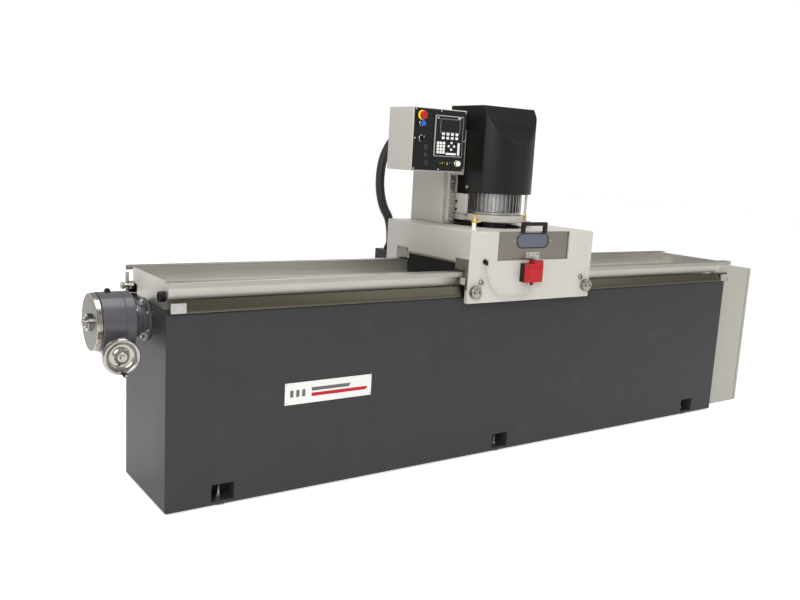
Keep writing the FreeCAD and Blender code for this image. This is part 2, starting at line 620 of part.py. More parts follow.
def cabinet_door():
    x0 = CAB_X1 + DOOR_GAP
    door = block(x0, CAB_Y0, 4, x0 + DOOR_T, CAB_Y1, CAB_H - 2)
    door = soften(door, "z", 4, lambda p: p.x > x0 + 1)
    latch = rod("x", LATCH_Y, LATCH_Z, x0 - 1, x0 + DOOR_T + 1, LATCH_R + RUN)
    door = door.cut(latch)
    pieces = [door]
    for z in HINGE_Z:
        barrel = ring("z", HINGE_X, HINGE_Y, z - 13.5, z + 14, KNUCKLE_R, KNUCKLE_PIN_R + RUN)
        leaf = block(HINGE_X + 1, CAB_Y1, z - 13.5, HINGE_X + 22, CAB_Y1 + 2, z + 14)
        leaf = leaf.cut(rod("z", HINGE_X, HINGE_Y, z - 20, z + 20, KNUCKLE_PIN_R + RUN))
        pieces.append(barrel.fuse(leaf).removeSplitter())
    return pieces


LATCH_Y, LATCH_Z, LATCH_R = CAB_Y0 + 34, 420.0, 9.0


def door_latch():
    """Quarter-turn lock with its cam behind the door."""
    x0 = CAB_X1 + DOOR_GAP
    stem = rod("x", LATCH_Y, LATCH_Z, x0 - 12, x0 + DOOR_T, LATCH_R)
    knob = rod("x", LATCH_Y, LATCH_Z, x0 + DOOR_T, x0 + DOOR_T + 4, 16)
    bar = block(x0 + DOOR_T + 3, LATCH_Y - 5, LATCH_Z - 14, x0 + DOOR_T + 14, LATCH_Y + 5, LATCH_Z + 14)
    cam = block(x0 - 12, LATCH_Y - 9, LATCH_Z - 30, x0 - 9, LATCH_Y + 9, LATCH_Z + 9)
    return stem.fuse([knob, soften(bar, "x", 4), cam]).removeSplitter()


def cabinet_electrics():
    """Mounting plate with a drive, contactors, terminals and a transformer."""
    x0 = CAB_X0 + CAB_SHEET
    plate = block(x0, CAB_Y0 + 25, 40, x0 + 4, CAB_Y1 - 25, 760)
    x = x0 + 4
    drive = soften(block(x, -110, 480, x + 150, 20, 720), "x", 4)
    pieces = [plate, drive]
    for k in range(4):
        y = 50 + 38 * k
        pieces.append(block(x, y, 600, x + 90, y + 34, 690))
    pieces.append(block(x, -110, 395, x + 40, 195, 430))
    pieces.append(block(x, -100, 90, x + 120, 30, 230))
    pieces.append(block(x, 70, 120, x + 80, 180, 260))
    return pieces


# ---------------------------------------------------------------- carriage
def head_opening(z0, z1):
    """Opening in the top plate for the head."""
    half = COL_HALF - COL_POST - 6
    round_part = rod("z", HEAD_X, 0, z0, z1, RING_R + RIM_CLEAR)
    slot = block(HEAD_X - half, 0, z0, HEAD_X + half, 198, z1)
    notch = block(HEAD_X + 100, -82, z0, HEAD_X + 184, -28, z1)
    return round_part.fuse([slot, notch]).removeSplitter()


def carriage_top():
    z0 = CAR_TOP - CAR_T
    front, rear = CAR_Y0 + CAR_T, CAR_Y1 - CAR_T
    plate = block(CAR_X0, front, z0, CAR_X1, rear, CAR_TOP)
    plate = plate.cut(head_opening(z0 - 1, CAR_TOP + 1))
    slot = block(DOOR_X0 - PANEL_LAP - 2, front - 1, z0 - 1,
                 DOOR_X1 + PANEL_LAP + 2, front + PANEL_T + 2, CAR_TOP + 1)
    return soften(plate.cut(slot), "y", 3, lambda p: p.z > CAR_TOP - 1 and abs(p.y) < 400
                  and (p.x < CAR_X0 + 1 or p.x > CAR_X1 - 1))


def carriage_front():
    """Apron plates round the door's opening, and the guide strips behind them."""
    y0, y1 = CAR_Y0, CAR_Y0 + CAR_T
    spans = ((CAR_X0, DOOR_X0, CAR_TOP), (DOOR_X0, DOOR_X1, DOOR_Z0), (DOOR_X1, CAR_X1, CAR_TOP))
    bores = [rod("y", x, z, y0 - 1, y1 + 1, ADJUSTER_SHAFT_R + RUN) for x, z in ADJUSTERS]

    def outer(p):
        return p.y < y0 + 1 and (p.x < CAR_X0 + 1 or p.x > CAR_X1 - 1)

    plates = []
    for x0, x1, top in spans:
        plate = block(x0, y0, CAR_SKIRT, x1, y1, top)
        if x0 == CAR_X0 or x1 == CAR_X1:
            plate = soften(plate, "z", 4, outer).cut(bores)
        plates.append(plate)
    lap = PANEL_LAP + 2
    low, high = DOOR_Z0 - PANEL_LAP - 0.5, CAR_TOP - CAR_T - 2
    guides = []
    for x0, x1, reach in ((DOOR_X0 - lap - 14, DOOR_X0 - lap, 8), (DOOR_X1 + lap, DOOR_X1 + lap + 14, -8)):
        guides.append(block(x0, y1, low - 6, x1, y1 + PANEL_T + 4, high))
        a, b = sorted((x1, x1 + reach)) if reach > 0 else sorted((x0, x0 + reach))
        guides.append(block(a, y1 + PANEL_T + 1, low, b, y1 + PANEL_T + 4, high))
    sill = block(DOOR_X0 - lap, y1, low - 6, DOOR_X1 + lap, y1 + PANEL_T + 4, low)
    return plates + guides + [sill]


ADJUSTERS = ((-254.0, 775.0), (423.0, 780.0))
ADJUSTER_SHAFT_R = 12.0


def side_plate(x0):
    """Side plate: over the trough it ends above the rims, outside it hangs to the skirt."""
    x1, top = x0 + CAR_T, CAR_TOP - CAR_T
    over = RIM_TOP + RIM_CLEAR
    pieces = [block(x0, CAR_Y0 + CAR_T, SIDE_LOW, x1, CAR_Y1 - CAR_T, top)]
    for side, edge in ((-1, CAR_Y0 + CAR_T), (1, CAR_Y1 - CAR_T)):
        rows = ((side * (TROUGH_HALF - 17), edge, over, SIDE_LOW),
                (side * SKIRT_IN, edge, CAR_SKIRT, over),
                (side * (RIM_OUT - 25), side * SKIRT_IN, SHOE_Z0, SHOE_Z1))
        for a, b, z0, z1 in rows:
            pieces.append(block(x0, min(a, b), z0, x1, max(a, b), z1))
    return pieces


def carriage_skirts():
    rear = block(CAR_X0, CAR_Y1 - CAR_T, CAR_SKIRT, CAR_X1, CAR_Y1, CAR_TOP)
    rear = soften(rear, "z", 4, lambda p: p.y > CAR_Y1 - 1)
    return [rear] + side_plate(CAR_X0) + side_plate(CAR_X1 - CAR_T)


def block_spans():
    inset = 24
    return ((CAR_X0 + inset, CAR_X0 + inset + BLOCK_L), (CAR_X1 - inset - BLOCK_L, CAR_X1 - inset))


def carriage_shoes():
    """Bearing blocks on the rails, and the arms that carry the carriage out over the guards."""
    pieces = []
    out = RAIL_Y * 2 - BLOCK_IN
    groove, roof = RAIL_W / 2 + AIR, BED_H + RAIL_H + AIR
    rows = ((BLOCK_IN, RAIL_Y - groove, BED_H + 8, roof), (RAIL_Y + groove, out, BED_H + 8, roof),
            (BLOCK_IN, out, roof, BLOCK_TOP), (out, out + 20, BED_H + 12, SHOE_Z0))
    for x0, x1 in block_spans():
        for side, edge in ((-1, -(CAR_Y0 + CAR_T)), (1, CAR_Y1 - CAR_T)):
            for a, b, z0, z1 in rows + ((out, edge, SHOE_Z0, SHOE_Z1),):
                pieces.append(block(x0, min(side * a, side * b), z0, x1, max(side * a, side * b), z1))
    return pieces


def wiper_brackets():
    """Stainless rim wipers on the side plates, their screws, and the curtains' clamp strips."""
    pieces = []
    for x, out in ((CAR_X0, -1), (CAR_X1, 1)):
        x0, x1 = sorted((x, x + out * 2))
        for side in (-1, 1):
            outline = [(-272, RIM_TOP - 78), (-258, RIM_TOP - 78), (-258, RIM_TOP - 30),
                       (-251, RIM_TOP - 18), (-251, RIM_TOP + 2.5), (-RIM_OUT - 2, RIM_TOP + 4.5),
                       (-TROUGH_HALF + 6, RIM_TOP + 4.5), (-TROUGH_HALF + 15, RIM_TOP + 12),
                       (-TROUGH_HALF + 15, RIM_TOP + 55), (-272, RIM_TOP + 55)]
            plate = prism("x", [(-side * y, z) for y, z in outline], x0, x1)
            pieces.append(plate)
            face0, face1 = sorted((x + out * 2, x + out * 5))
            for y in (-262, -TROUGH_HALF + 5):
                pieces.append(rod("x", -side * y, RIM_TOP + 46, face0, face1, 5))
        in0, in1 = sorted((x - out * CAR_T, x - out * (CAR_T + CURTAIN_T)))
        back0, back1 = sorted((x - out * (CAR_T + CURTAIN_T), x - out * (CAR_T + CURTAIN_T + 3)))
        half = TROUGH_HALF - 20
        pieces.append(block(back0, -half, SIDE_LOW + 2, back1, half, SIDE_LOW + 24))
        edge0, edge1 = sorted((x, x + out * 2))
        pieces.append(block(edge0, -half, SIDE_LOW - 0.2, edge1, half, SIDE_LOW + 9))
        for k in range(7):
            y = -half + 20 + k * (2 * half - 40) / 6
            head0, head1 = sorted((x + out * 2, x + out * 4))
            pieces.append(rod("x", y, SIDE_LOW + 4.5, head0, head1, 3))
    return pieces


def splash_curtains():
    """Rubber curtains that hang from the side plates into the trough."""
    pieces = []
    for x, out in ((CAR_X0, -1), (CAR_X1, 1)):
        x0, x1 = sorted((x - out * CAR_T, x - out * (CAR_T + CURTAIN_T)))
        half = TROUGH_HALF - 8
        low = block(x0, -half, CURTAIN_LOW, x1, half, RIM_TOP - 2)
        high = block(x0, -half + 6, RIM_TOP - 2, x1, half - 6, SIDE_LOW + 26)
        pieces.append(low.fuse(high).removeSplitter())
    return pieces


def guide_adjusters():
    """Round adjuster heads with two pin holes on the apron, and the plugs above them."""
    pieces = []
    for (x, z), side in zip(ADJUSTERS, (1, -1)):
        head = rod("y", x, z, CAR_Y0 - 22, CAR_Y0, 29)
        head = head.makeChamfer(2.5, [e for e in head.Edges if abs(e.CenterOfMass.y - CAR_Y0 + 22) < 0.1
                                      and e.Length > 100][:1])
        head = head.fuse(rod("y", x, z, CAR_Y0 - 1, CAR_Y0 + CAR_T + 12, ADJUSTER_SHAFT_R))
        head = head.cut([rod("y", x + dx, z, CAR_Y0 - 30, CAR_Y0 - 10, 4.5) for dx in (-14, 14)])
        plug_x, plug_z = x + side * 34, z + 41
        plug = rod("y", plug_x, plug_z, CAR_Y0 - 8, CAR_Y0, 13).cut(
            hexagon("y", plug_x, plug_z, CAR_Y0 - 9, CAR_Y0 - 3, 11)
        )
        pieces += [head, plug]
    return pieces


def travel_gearmotor():
    """Gearbox and motor that drive the pinion, hung from the carriage's rear plate."""
    z = RACK_Z - MODULE * PINION_TEETH / 2
    y0 = BED_D / 2 + RACK_FACE + 10
    y1 = CAR_Y1 - CAR_T
    case = block(HEAD_X - 50, y0, z - 45, HEAD_X + 50, y1, SHOE_Z1 + 60)
    case = soften(case, "z", 10)
    case = case.cut(rod("y", HEAD_X, z, y0 - 1, y0 + 50, 9 + RUN))
    motor = rod("x", (y0 + y1) / 2, z, HEAD_X + 50, HEAD_X + 230, 38)
    cap = rod("x", (y0 + y1) / 2, z, HEAD_X + 230, HEAD_X + 262, 41)
    return [case, motor, cap]


# ---------------------------------------------------------------- column and control box
def column():
    """Column open to the front: two posts with a way on each, rear web, cap and foot."""
    pieces = []
    half, inner = WAY_W / 2, COL_HALF - COL_POST
    for side in (-1, 1):
        a, b = sorted((HEAD_X + side * inner, HEAD_X + side * COL_HALF))
        post = block(a, COL_Y0, CAR_TOP, b, COL_Y1, COL_TOP)
        pieces.append(soften(post, "z", 4, lambda p: abs(p.x - HEAD_X) > COL_HALF - 1))
        x, y0 = HEAD_X + side * WAY_X, COL_Y0 - WAY_PROUD
        outline = [(x - half, COL_Y0), (x - half, COL_Y0 - 4), (x - half + 5, COL_Y0 - 6),
                   (x - half + 5, COL_Y0 - 18), (x - half, COL_Y0 - 20), (x - half, y0),
                   (x + half, y0), (x + half, COL_Y0 - 20), (x + half - 5, COL_Y0 - 18),
                   (x + half - 5, COL_Y0 - 6), (x + half, COL_Y0 - 4), (x + half, COL_Y0)]
        pieces.append(prism("z", outline, CAR_TOP, COL_TOP - 15))
    x0, x1 = HEAD_X - inner, HEAD_X + inner
    web = block(x0, COL_Y1 - 12, CAR_TOP, x1, COL_Y1, COL_TOP)
    cap = block(x0, SCREW_Y - 35, COL_TOP - 12, x1, COL_Y1 - 12, COL_TOP)
    foot = block(HEAD_X - 30, SCREW_Y - 22, CAR_TOP, HEAD_X + 30, COL_Y1 - 12, CAR_TOP + 30)
    journal = rod("z", HEAD_X, SCREW_Y, CAR_TOP - 1, COL_TOP + 1, SCREW_END_R + RUN)
    return pieces + [web, cap.cut(journal), foot.cut(journal)]


def control_box():
    """Control enclosure, and the bracket that holds it on the column."""
    shell = block(BOX_X0, BOX_Y0, BOX_Z0, BOX_X1, BOX_Y1, BOX_Z1)
    shell = soften(shell, "y", 5)
    shell = shell.cut(block(BOX_X0 + 3, BOX_Y0 + 3, BOX_Z0 + 3, BOX_X1 - 3, BOX_Y1 - 3, BOX_Z1 - 3))
    shell = shell.cut([rod("y", x, z, BOX_Y0 - 1, BOX_Y0 + 5, r + 0.5) for x, z, r in PANEL_HOLES])
    arm = block(BOX_X0 + 60, BOX_Y1, BOX_Z0 + 30, BOX_X1, BOX_Y1 + 10, BOX_Z1 - 30)
    foot = block(BOX_X1 - 10, BOX_Y1 + 9, BOX_Z0 + 30, BOX_X1, BOX_Y1 + 90, BOX_Z1 - 30)
    arm = arm.cut(rod("y", HOSE_START[0], HOSE_START[2], BOX_Y1 - 1, BOX_Y1 + 20, 36))
    return [shell, arm.fuse(foot).removeSplitter()]


ESTOP = (BOX_X0 + 42.0, BOX_Z1 - 34.0)
BLUE = (BOX_X0 + 42.0, BOX_Z1 - 69.0)
SELECTOR = (BOX_X0 + 45.0, BOX_Z1 - 133.0)
CREAM = (BOX_X1 - 47.0, BOX_Z0 + 39.0)
STEM_R = 8.0
PANEL_HOLES = tuple((x, z, STEM_R) for x, z in (ESTOP, BLUE, SELECTOR, CREAM))
PANEL_FRONT = BOX_Y0 - 3.0


def control_panel():
    """Black front plate with its screws and the collars of the buttons."""
    plate = block(BOX_X0 + 4, PANEL_FRONT, BOX_Z0 + 4, BOX_X1 - 4, BOX_Y0, BOX_Z1 - 4)
    plate = soften(plate, "y", 5)
    stems = [rod("y", x, z, PANEL_FRONT - 10, BOX_Y0 + 1, r + RUN) for x, z, r in PANEL_HOLES]
    collars = []
    for (x, z), radius, height in ((ESTOP, 20.5, 4), (BLUE, 13.5, 4), (SELECTOR, 15, 4), (CREAM, 15, 4)):
        collar = rod("y", x, z, PANEL_FRONT - height, PANEL_FRONT, radius)
        collars.append(collar.cut(stems))
    screws = []
    for fx in (0.04, 0.5, 0.96):
        for fz in (0.04, 0.5, 0.96):
            if fx == 0.5 and fz == 0.5:
                continue
            x = BOX_X0 + fx * (BOX_X1 - BOX_X0)
            z = BOX_Z0 + fz * (BOX_Z1 - BOX_Z0)
            screws.append(rod("y", x, z, PANEL_FRONT - 2, PANEL_FRONT, 4))
    return [plate.cut(stems)] + collars + screws


DISPLAY_X0, DISPLAY_X1 = BOX_X0 + 111.0, BOX_X1 - 25.0
DISPLAY_Z0, DISPLAY_Z1 = BOX_Z0 + 66.0, BOX_Z1 - 28.0


def display_unit():
    """Operator terminal with a recessed screen and raised keys."""
    y0 = PANEL_FRONT - 8
    body = block(DISPLAY_X0, y0, DISPLAY_Z0, DISPLAY_X1, PANEL_FRONT, DISPLAY_Z1)
    body = soften(body, "y", 4)
    wide, high = DISPLAY_X1 - DISPLAY_X0, DISPLAY_Z1 - DISPLAY_Z0
    screen = block(DISPLAY_X0 + 0.17 * wide, y0 - 1, DISPLAY_Z0 + 0.58 * high,
                   DISPLAY_X0 + 0.85 * wide, y0 + 2, DISPLAY_Z0 + 0.90 * high)
    return body.cut(screen)


def button(place, cap_r, cap_l, dome):
    """Push button: cap and stem in one piece, clear of its collar."""
    x, z = place
    front = PANEL_FRONT - 4 - 6
    stem = rod("y", x, z, front, BOX_Y0 + 2, STEM_R)
    cap = rod("y", x, z, front - cap_l, front, cap_r)
    cap = cap.makeFillet(dome, [e for e in cap.Edges if abs(e.CenterOfMass.y - front + cap_l) < 0.1
                                and e.Length > 2 * cap_r][:1])
    return stem.fuse(cap).removeSplitter()


def selector_knob():
    x, z = SELECTOR
    front = PANEL_FRONT - 4.5
    stem = rod("y", x, z, front, BOX_Y0 + 2, STEM_R)
    base = rod("y", x, z, front - 4, front, 14)
    bar = soften(block(x - 4.5, front - 15, z - 14, x + 4.5, front - 3, z + 14), "y", 3)
    return stem.fuse([base, bar]).removeSplitter()


# ---------------------------------------------------------------- door and interlock
def door_panel():
    """Lift-up door with an oval window and a flange along its top."""
    y0 = CAR_Y0 + CAR_T + AIR
    x0, x1 = DOOR_X0 - PANEL_LAP, DOOR_X1 + PANEL_LAP
    sheet = block(x0, y0, DOOR_Z0 - PANEL_LAP, x1, y0 + PANEL_T - 1, PANEL_TOP)
    oval = stadium("y", WINDOW_X, WINDOW_Z, y0 - 1, y0 + PANEL_T + 1, WINDOW_L, WINDOW_H)
    return sheet.cut(oval)


def door_window():
    """Clear pane behind the oval window with its two screws."""
    y0 = CAR_Y0 + CAR_T + AIR
    pane = stadium("y", WINDOW_X, WINDOW_Z, y0 + 0.5, y0 + PANEL_T - 1, WINDOW_L - 0.4, WINDOW_H - 0.4)
    return pane


def door_handle():
    """Bail handle on the door's top edge."""
    y0 = CAR_Y0 + CAR_T + AIR - 14
    y1 = CAR_Y0 + CAR_T + AIR
    x0, x1 = WINDOW_X - 80, WINDOW_X + 72
    bow = block(x0, y0, PANEL_TOP - 10, x1, y1, PANEL_TOP + 44)
    bow = soften(bow, "y", 10, lambda p: p.z > PANEL_TOP + 40)
    gap = soften(block(x0 + 16, y0 - 1, PANEL_TOP - 11, x1 - 16, y1 + 1, PANEL_TOP + 28), "y", 6,
                 lambda p: p.z > PANEL_TOP + 20)
    return bow.cut(gap)


SWITCH_X0, SWITCH_X1, SWITCH_Z0, SWITCH_Z1 = 2.0, 106.0, 812.0, 896.0
SWITCH_DEEP = 40.0
KEY_X = 78.0


def interlock_switch():
    """Guard switch: base, front cover and the head that takes the key."""
    y1 = CAR_Y0
    y0 = y1 - SWITCH_DEEP
    base = soften(block(SWITCH_X0, y0 + 10, SWITCH_Z0, SWITCH_X1, y1, SWITCH_Z1), "y", 3)
    cover = soften(block(SWITCH_X0, y0, SWITCH_Z0, SWITCH_X1, y0 + 10, SWITCH_Z1), "y", 3)
    head = soften(block(KEY_X - 27, y0, SWITCH_Z1, KEY_X + 27, y1 - 2, SWITCH_Z1 + 14), "y", 3)
    slot = block(KEY_X - 11, y0 + 12, SWITCH_Z1 - 10, KEY_X + 11, y0 + 17, SWITCH_Z1 + 20)
    screws = [rod("y", x, z, y0 - 1.5, y0, 4) for x, z in
              ((SWITCH_X0 + 12, SWITCH_Z0 + 12), (SWITCH_X1 - 12, SWITCH_Z0 + 30),
               (SWITCH_X0 + 12, SWITCH_Z1 - 12), (SWITCH_X1 - 12, SWITCH_Z1 - 12))]
    return [base.cut(slot), cover.cut(slot), head.cut(slot)] + screws


def interlock_key():
    """Bracket on the door with the key that drops into the switch."""
    y1 = CAR_Y0 + CAR_T + AIR
    tongue_y = CAR_Y0 - SWITCH_DEEP + 12.8
    plate = block(KEY_X - 40, y1 - 3, DOOR_Z0 + 6, KEY_X + 40, y1, DOOR_Z0 + 36)
    shelf = block(KEY_X - 22, tongue_y, DOOR_Z0 + 6, KEY_X + 22, y1 - 2, DOOR_Z0 + 10)
    tongue = block(KEY_X - 9, tongue_y, SWITCH_Z1 - 6, KEY_X + 9, tongue_y + 3.4, DOOR_Z0 + 8)
    holes = [rod("y", KEY_X + dx, DOOR_Z0 + 25, y1 - 5, y1 + 1, 4) for dx in (-28, 28)]
    return plate.fuse([shelf, tongue]).removeSplitter().cut(holes)


# ---------------------------------------------------------------- cords
CORDS = ("interlock_cable", "conduit_hose")
CABLE_R = 3.0
GLAND_OUT = (60.0, CAR_Y0 - 20.0, SWITCH_Z0 - 14.0)
ELBOW_MOUTH = (-206.0, CAR_Y0 - 14.0, 893.0)
CABLE_ROUTE = (
    GLAND_OUT,
    (60.0, -300.0, 776.0),
    (44.0, -299.0, 757.0),
    (4.0, -297.0, 742.0),
    (-52.0, -294.0, 737.0),
    (-106.0, -292.0, 747.0),
    (-147.0, -292.0, 770.0),
    (-179.0, -292.0, 808.0),
    (-196.0, -293.0, 850.0),
    (-206.0, -294.0, 872.0),
    ELBOW_MOUTH,
)
HOSE_R = 22.0
HOSE_START = (-305.0, BOX_Y1 + 24.0, 1440.0)
HOSE_END = (-228.0, 424.0, 905.0)
HOSE_ROUTE = (
    HOSE_START,
    (-305.0, 300.0, 1440.0),
    (-310.0, 402.0, 1340.0),
    (-309.0, 430.0, 1215.0),
    (-286.0, 431.0, 1095.0),
    (-228.0, 424.0, 1010.0),
    HOSE_END,
)


def bent_tube(name, route, radius):
    """Round tube of straight runs joined by tangent arcs."""
    points = [V(*p) for p in route]
    edges = []
    length = 0.0
    start = points[0]
    smallest = None
    for before, corner, after in zip(points, points[1:], points[2:]):
        into = corner - before
        away = after - corner
        run = 0.45 * min(into.Length, away.Length)
        into.normalize()
        away.normalize()
        turn = into.getAngle(away)
        bend = run / math.tan(turn / 2)
        smallest = bend if smallest is None else min(smallest, bend)
        enter, leave = corner - into * run, corner + away * run
        bisector = away - into
        bisector.normalize()
        centre = corner + bisector * (bend / math.cos(turn / 2))
        middle = centre - bisector * bend
        edges.append(Part.LineSegment(start, enter).toShape())
        edges.append(Part.Arc(enter, middle, leave).toShape())
        length += (enter - start).Length + bend * turn
        start = leave
    edges.append(Part.LineSegment(start, points[-1]).toShape())
    length += (points[-1] - start).Length
    path = Part.Wire(edges)
    first = points[1] - points[0]
    section = Part.Wire([Part.makeCircle(radius, points[0], first)])
    tube = path.makePipeShell([section], True, False)
    ratio = tube.Volume / (math.pi * radius ** 2 * length)
    print("%s: length %.0f, tightest radius %.1f (%.1f diameters), volume ratio %.4f" % (
        name, length, smallest, smallest / radius / 2, ratio))
    return tube


def carriage_glands():
    """Glands of the switch cable and the hose, the cable's grommet and the hose's socket."""
    x, y, z = GLAND_OUT
    gland = rod("z", x, y, z, SWITCH_Z0, 6).fuse(hexagon("z", x, y, SWITCH_Z0 - 8, SWITCH_Z0, 15))
    x, y, z = ELBOW_MOUTH
    elbow = rod("z", x, y, z, z + 20, 6.5).fuse([
        rod("y", x, z + 13.5, y, CAR_Y0, 6.5),
        rod("y", x, z + 13.5, CAR_Y0 - 4, CAR_Y0, 11),
    ]).removeSplitter()
    x, y, z = HOSE_START
    hose_gland = rod("y", x, z, BOX_Y1, y, 26).fuse(hexagon("y", x, z, BOX_Y1, BOX_Y1 + 12, 60))
    x, y, z = HOSE_END
    socket = rod("z", x, y, z - 26, z, 26).fuse(hexagon("z", x, y, z - 26, z - 12, 60))
    case = soften(block(x - 60, CAR_Y1, z - 110, x + 60, y + 46, z - 26), "z", 6)
    return [gland, elbow, hose_gland, socket.fuse(case).removeSplitter()]


# ---------------------------------------------------------------- coolant
VALVE_X, VALVE_Y = -236.0, -226.0


def coolant_valve():
    """Brass valve on a short pipe that stands on the carriage."""
    pipe = rod("z", VALVE_X, VALVE_Y, CAR_TOP, 1072, 9)
    foot = hexagon("z", VALVE_X, VALVE_Y, CAR_TOP, CAR_TOP + 8, 26)
    body = hexagon("z", VALVE_X, VALVE_Y, 1070, 1084, 22).fuse([
        rod("z", VALVE_X, VALVE_Y, 1083, 1094, 8),
        rod("x", VALVE_Y, 1077, VALVE_X + 6, VALVE_X + 34, 7),
    ])
    body = body.cut(rod("z", VALVE_X, VALVE_Y, 1085, 1095, VALVE_STEM_R + RUN))
    return [pipe.fuse(foot).removeSplitter().cut(body), body.removeSplitter()]


VALVE_STEM_R = 4.0


def tap_lever():
    stem = rod("z", VALVE_X, VALVE_Y, 1085, 1104, VALVE_STEM_R)
    lever = soften(block(VALVE_X - 7, VALVE_Y - 7, 1101, VALVE_X + 34, VALVE_Y + 7, 1107), "z", 5)
    return stem.fuse(lever).removeSplitter()


def coolant_fittings():
    """Brass fittings on the head's ring with clear tubes up into the cover."""
    pieces = []
    for x, y in ((206.0, -62.0), (224.0, -48.0)):
        body = hexagon("z", x, y, RING_Z0 + 4, RING_Z0 + 18, 15)
        body = body.fuse([rod("z", x, y, RING_Z0 + 17, RING_Z1 + 4, 6),
                          rod("z", x, y, RING_Z1 + 3, COVER_Z0 + 60, 4)])
        pieces.append(body.removeSplitter())
    return pieces


# ---------------------------------------------------------------- head
def head_saddle():
    """Saddle: flanges before the ways, webs beside the motor, and the ring that holds it."""
    inner = COL_HALF - COL_POST - 2
    web_t = 14
    web_out = inner
    z_top = 1470.0
    ring_plate = rod("z", HEAD_X, 0, RING_Z0, RING_Z1, RING_R)
    tail = block(HEAD_X - inner + 8, 0, RING_Z0, HEAD_X + inner - 8, 190, RING_Z1)
    ring_plate = ring_plate.fuse(tail)
    ring_plate = ring_plate.fuse(soften(block(HEAD_X + 120, -74, RING_Z0, HEAD_X + 176, -36,
                                              RING_Z0 + 4), "z", 8))
    ring_plate = ring_plate.cut(rod("z", HEAD_X, 0, RING_Z0 - 1, RING_Z1 + 1, SPINDLE_BOSS_R + RUN))
    pieces = [ring_plate.removeSplitter()]
    for side in (-1, 1):
        a, b = sorted((HEAD_X + side * web_out, HEAD_X + side * (web_out - web_t)))
        low = block(a, -6, RING_Z1, b, 190, COVER_Z0 - 8)
        high = block(a, COVER_STEP_Y - 4, COVER_Z0 - 9, b, 190, z_top)
        web = low.fuse(high).removeSplitter()
        way = HEAD_X + side * WAY_X
        c, d = sorted((HEAD_X + side * (web_out - 1), way + side * (WAY_W / 2 + 6)))
        y0 = COL_Y0 - WAY_PROUD - 14
        plate = block(min(a, c), y0 - 12, 1266, max(b, d), y0, z_top)
        link = block(a, y0 - 1, 1266, b, COVER_STEP_Y - 3, z_top)
        pieces.append(web.fuse([plate, link]).removeSplitter())
        for z in (1272.0, 1396.0):
            c, d = way - WAY_W / 2 - 6, way + WAY_W / 2 + 6
            bearing = block(c, y0, z, d, COL_Y0 - 20, z + 68)
            channel = block(way - WAY_W / 2 - AIR, COL_Y0 - WAY_PROUD - AIR, z - 1,
                            way + WAY_W / 2 + AIR, COL_Y0, z + 69)
            pieces.append(bearing.cut(channel))
        screws = [rod("x", 60, z, *sorted((HEAD_X + side * web_out, HEAD_X + side * (web_out + 5))), 6)
                  for z in (1078 + 30, 1078 + 66)]
        pieces += screws
    cross = block(HEAD_X - inner, 190, 1150, HEAD_X + inner, SCREW_Y - 24, 1230)
    nut = block(HEAD_X - 28, SCREW_Y - 24, 1160, HEAD_X + 28, SCREW_Y + 24, 1220).cut(
        rod("z", HEAD_X, SCREW_Y, 1159, 1221, SCREW_R + RUN))
    pieces.append(cross.fuse(nut).removeSplitter())
    return pieces


SPINDLE_BOSS_R = 62.0


def motor():
    """Finned motor, its end shield, and the spindle housing below the ring."""
    fins = rod("z", HEAD_X, 0, RING_Z1, MOTOR_Z1 - 60, MOTOR_CORE_R)
    cutters = []
    for k in range(FIN_COUNT):
        angle = 360.0 * (k + 0.5) / FIN_COUNT
        fin = Part.makeBox(MOTOR_R - MOTOR_CORE_R + 2, FIN_T, MOTOR_Z1 - 60 - RING_Z1,
                           V(MOTOR_CORE_R - 2, -FIN_T / 2, RING_Z1))
        fin.rotate(V(0, 0, 0), V(0, 0, 1), angle)
        fin.translate(V(HEAD_X, 0, 0))
        cutters.append(fin)
    body = fins.fuse(cutters)
    cap = rod("z", HEAD_X, 0, MOTOR_Z1 - 60, MOTOR_Z1, MOTOR_R)
    cap = cap.makeFillet(14, [e for e in cap.Edges if abs(e.CenterOfMass.z - MOTOR_Z1) < 0.1
                              and e.Length > 100][:1])
    base = rod("z", HEAD_X, 0, RING_Z1, RING_Z1 + 14, MOTOR_R)
    body = body.fuse([cap, base]).removeSplitter()
    boss = rod("z", HEAD_X, 0, WHEEL_LOW + 75, RING_Z1, SPINDLE_BOSS_R)
    bore = rod("z", HEAD_X, 0, WHEEL_LOW, RING_Z1 + 200, SPINDLE_R + RUN)
    return [body.cut(bore), boss.cut(bore)]


def cover_outline(grow):
    """Plan of the cover: flat sides and back, bowed front."""
    half, y0, corner, y1 = COVER_HALF + grow, COVER_Y0 - grow, COVER_CORNER_Y, COVER_Y1 + grow
    left, right = HEAD_X - half, HEAD_X + half
    return [
        Part.LineSegment(V(left, y1, 0), V(left, corner, 0)).toShape(),
        Part.Arc(V(left, corner, 0), V(HEAD_X, y0, 0), V(right, corner, 0)).toShape(),
        Part.LineSegment(V(right, corner, 0), V(right, y1, 0)).toShape(),
        Part.LineSegment(V(right, y1, 0), V(left, y1, 0)).toShape(),
    ]


def cover_block(grow, z0, z1, drop):
    """Solid form of the cover with its sloping facet lowered by drop."""
    face = Part.Face(Part.Wire(cover_outline(grow)))
    face.translate(V(0, 0, z0))
    form = face.extrude(V(0, 0, z1 - z0))
    corner = [e for e in form.Edges if isinstance(e.Curve, Part.Line)
              and abs(e.tangentAt(e.FirstParameter).z) > 0.99 and e.CenterOfMass.y < COVER_CORNER_Y + 1]
    form = form.makeFillet(16 + grow, corner)
    slope = (FACET_HIGH - FACET_LOW) / (COVER_CORNER_Y - COVER_Y0)
    y_far = COVER_CORNER_Y + 40
    wedge = prism("x", [(COVER_Y0 - 60, FACET_LOW - 60 * slope - drop), (y_far, FACET_HIGH + 40 * slope - drop),
                        (y_far, COVER_TOP + 300), (COVER_Y0 - 60, COVER_TOP + 300)],
                  HEAD_X - 400, HEAD_X + 400)
    return form.cut(wedge)


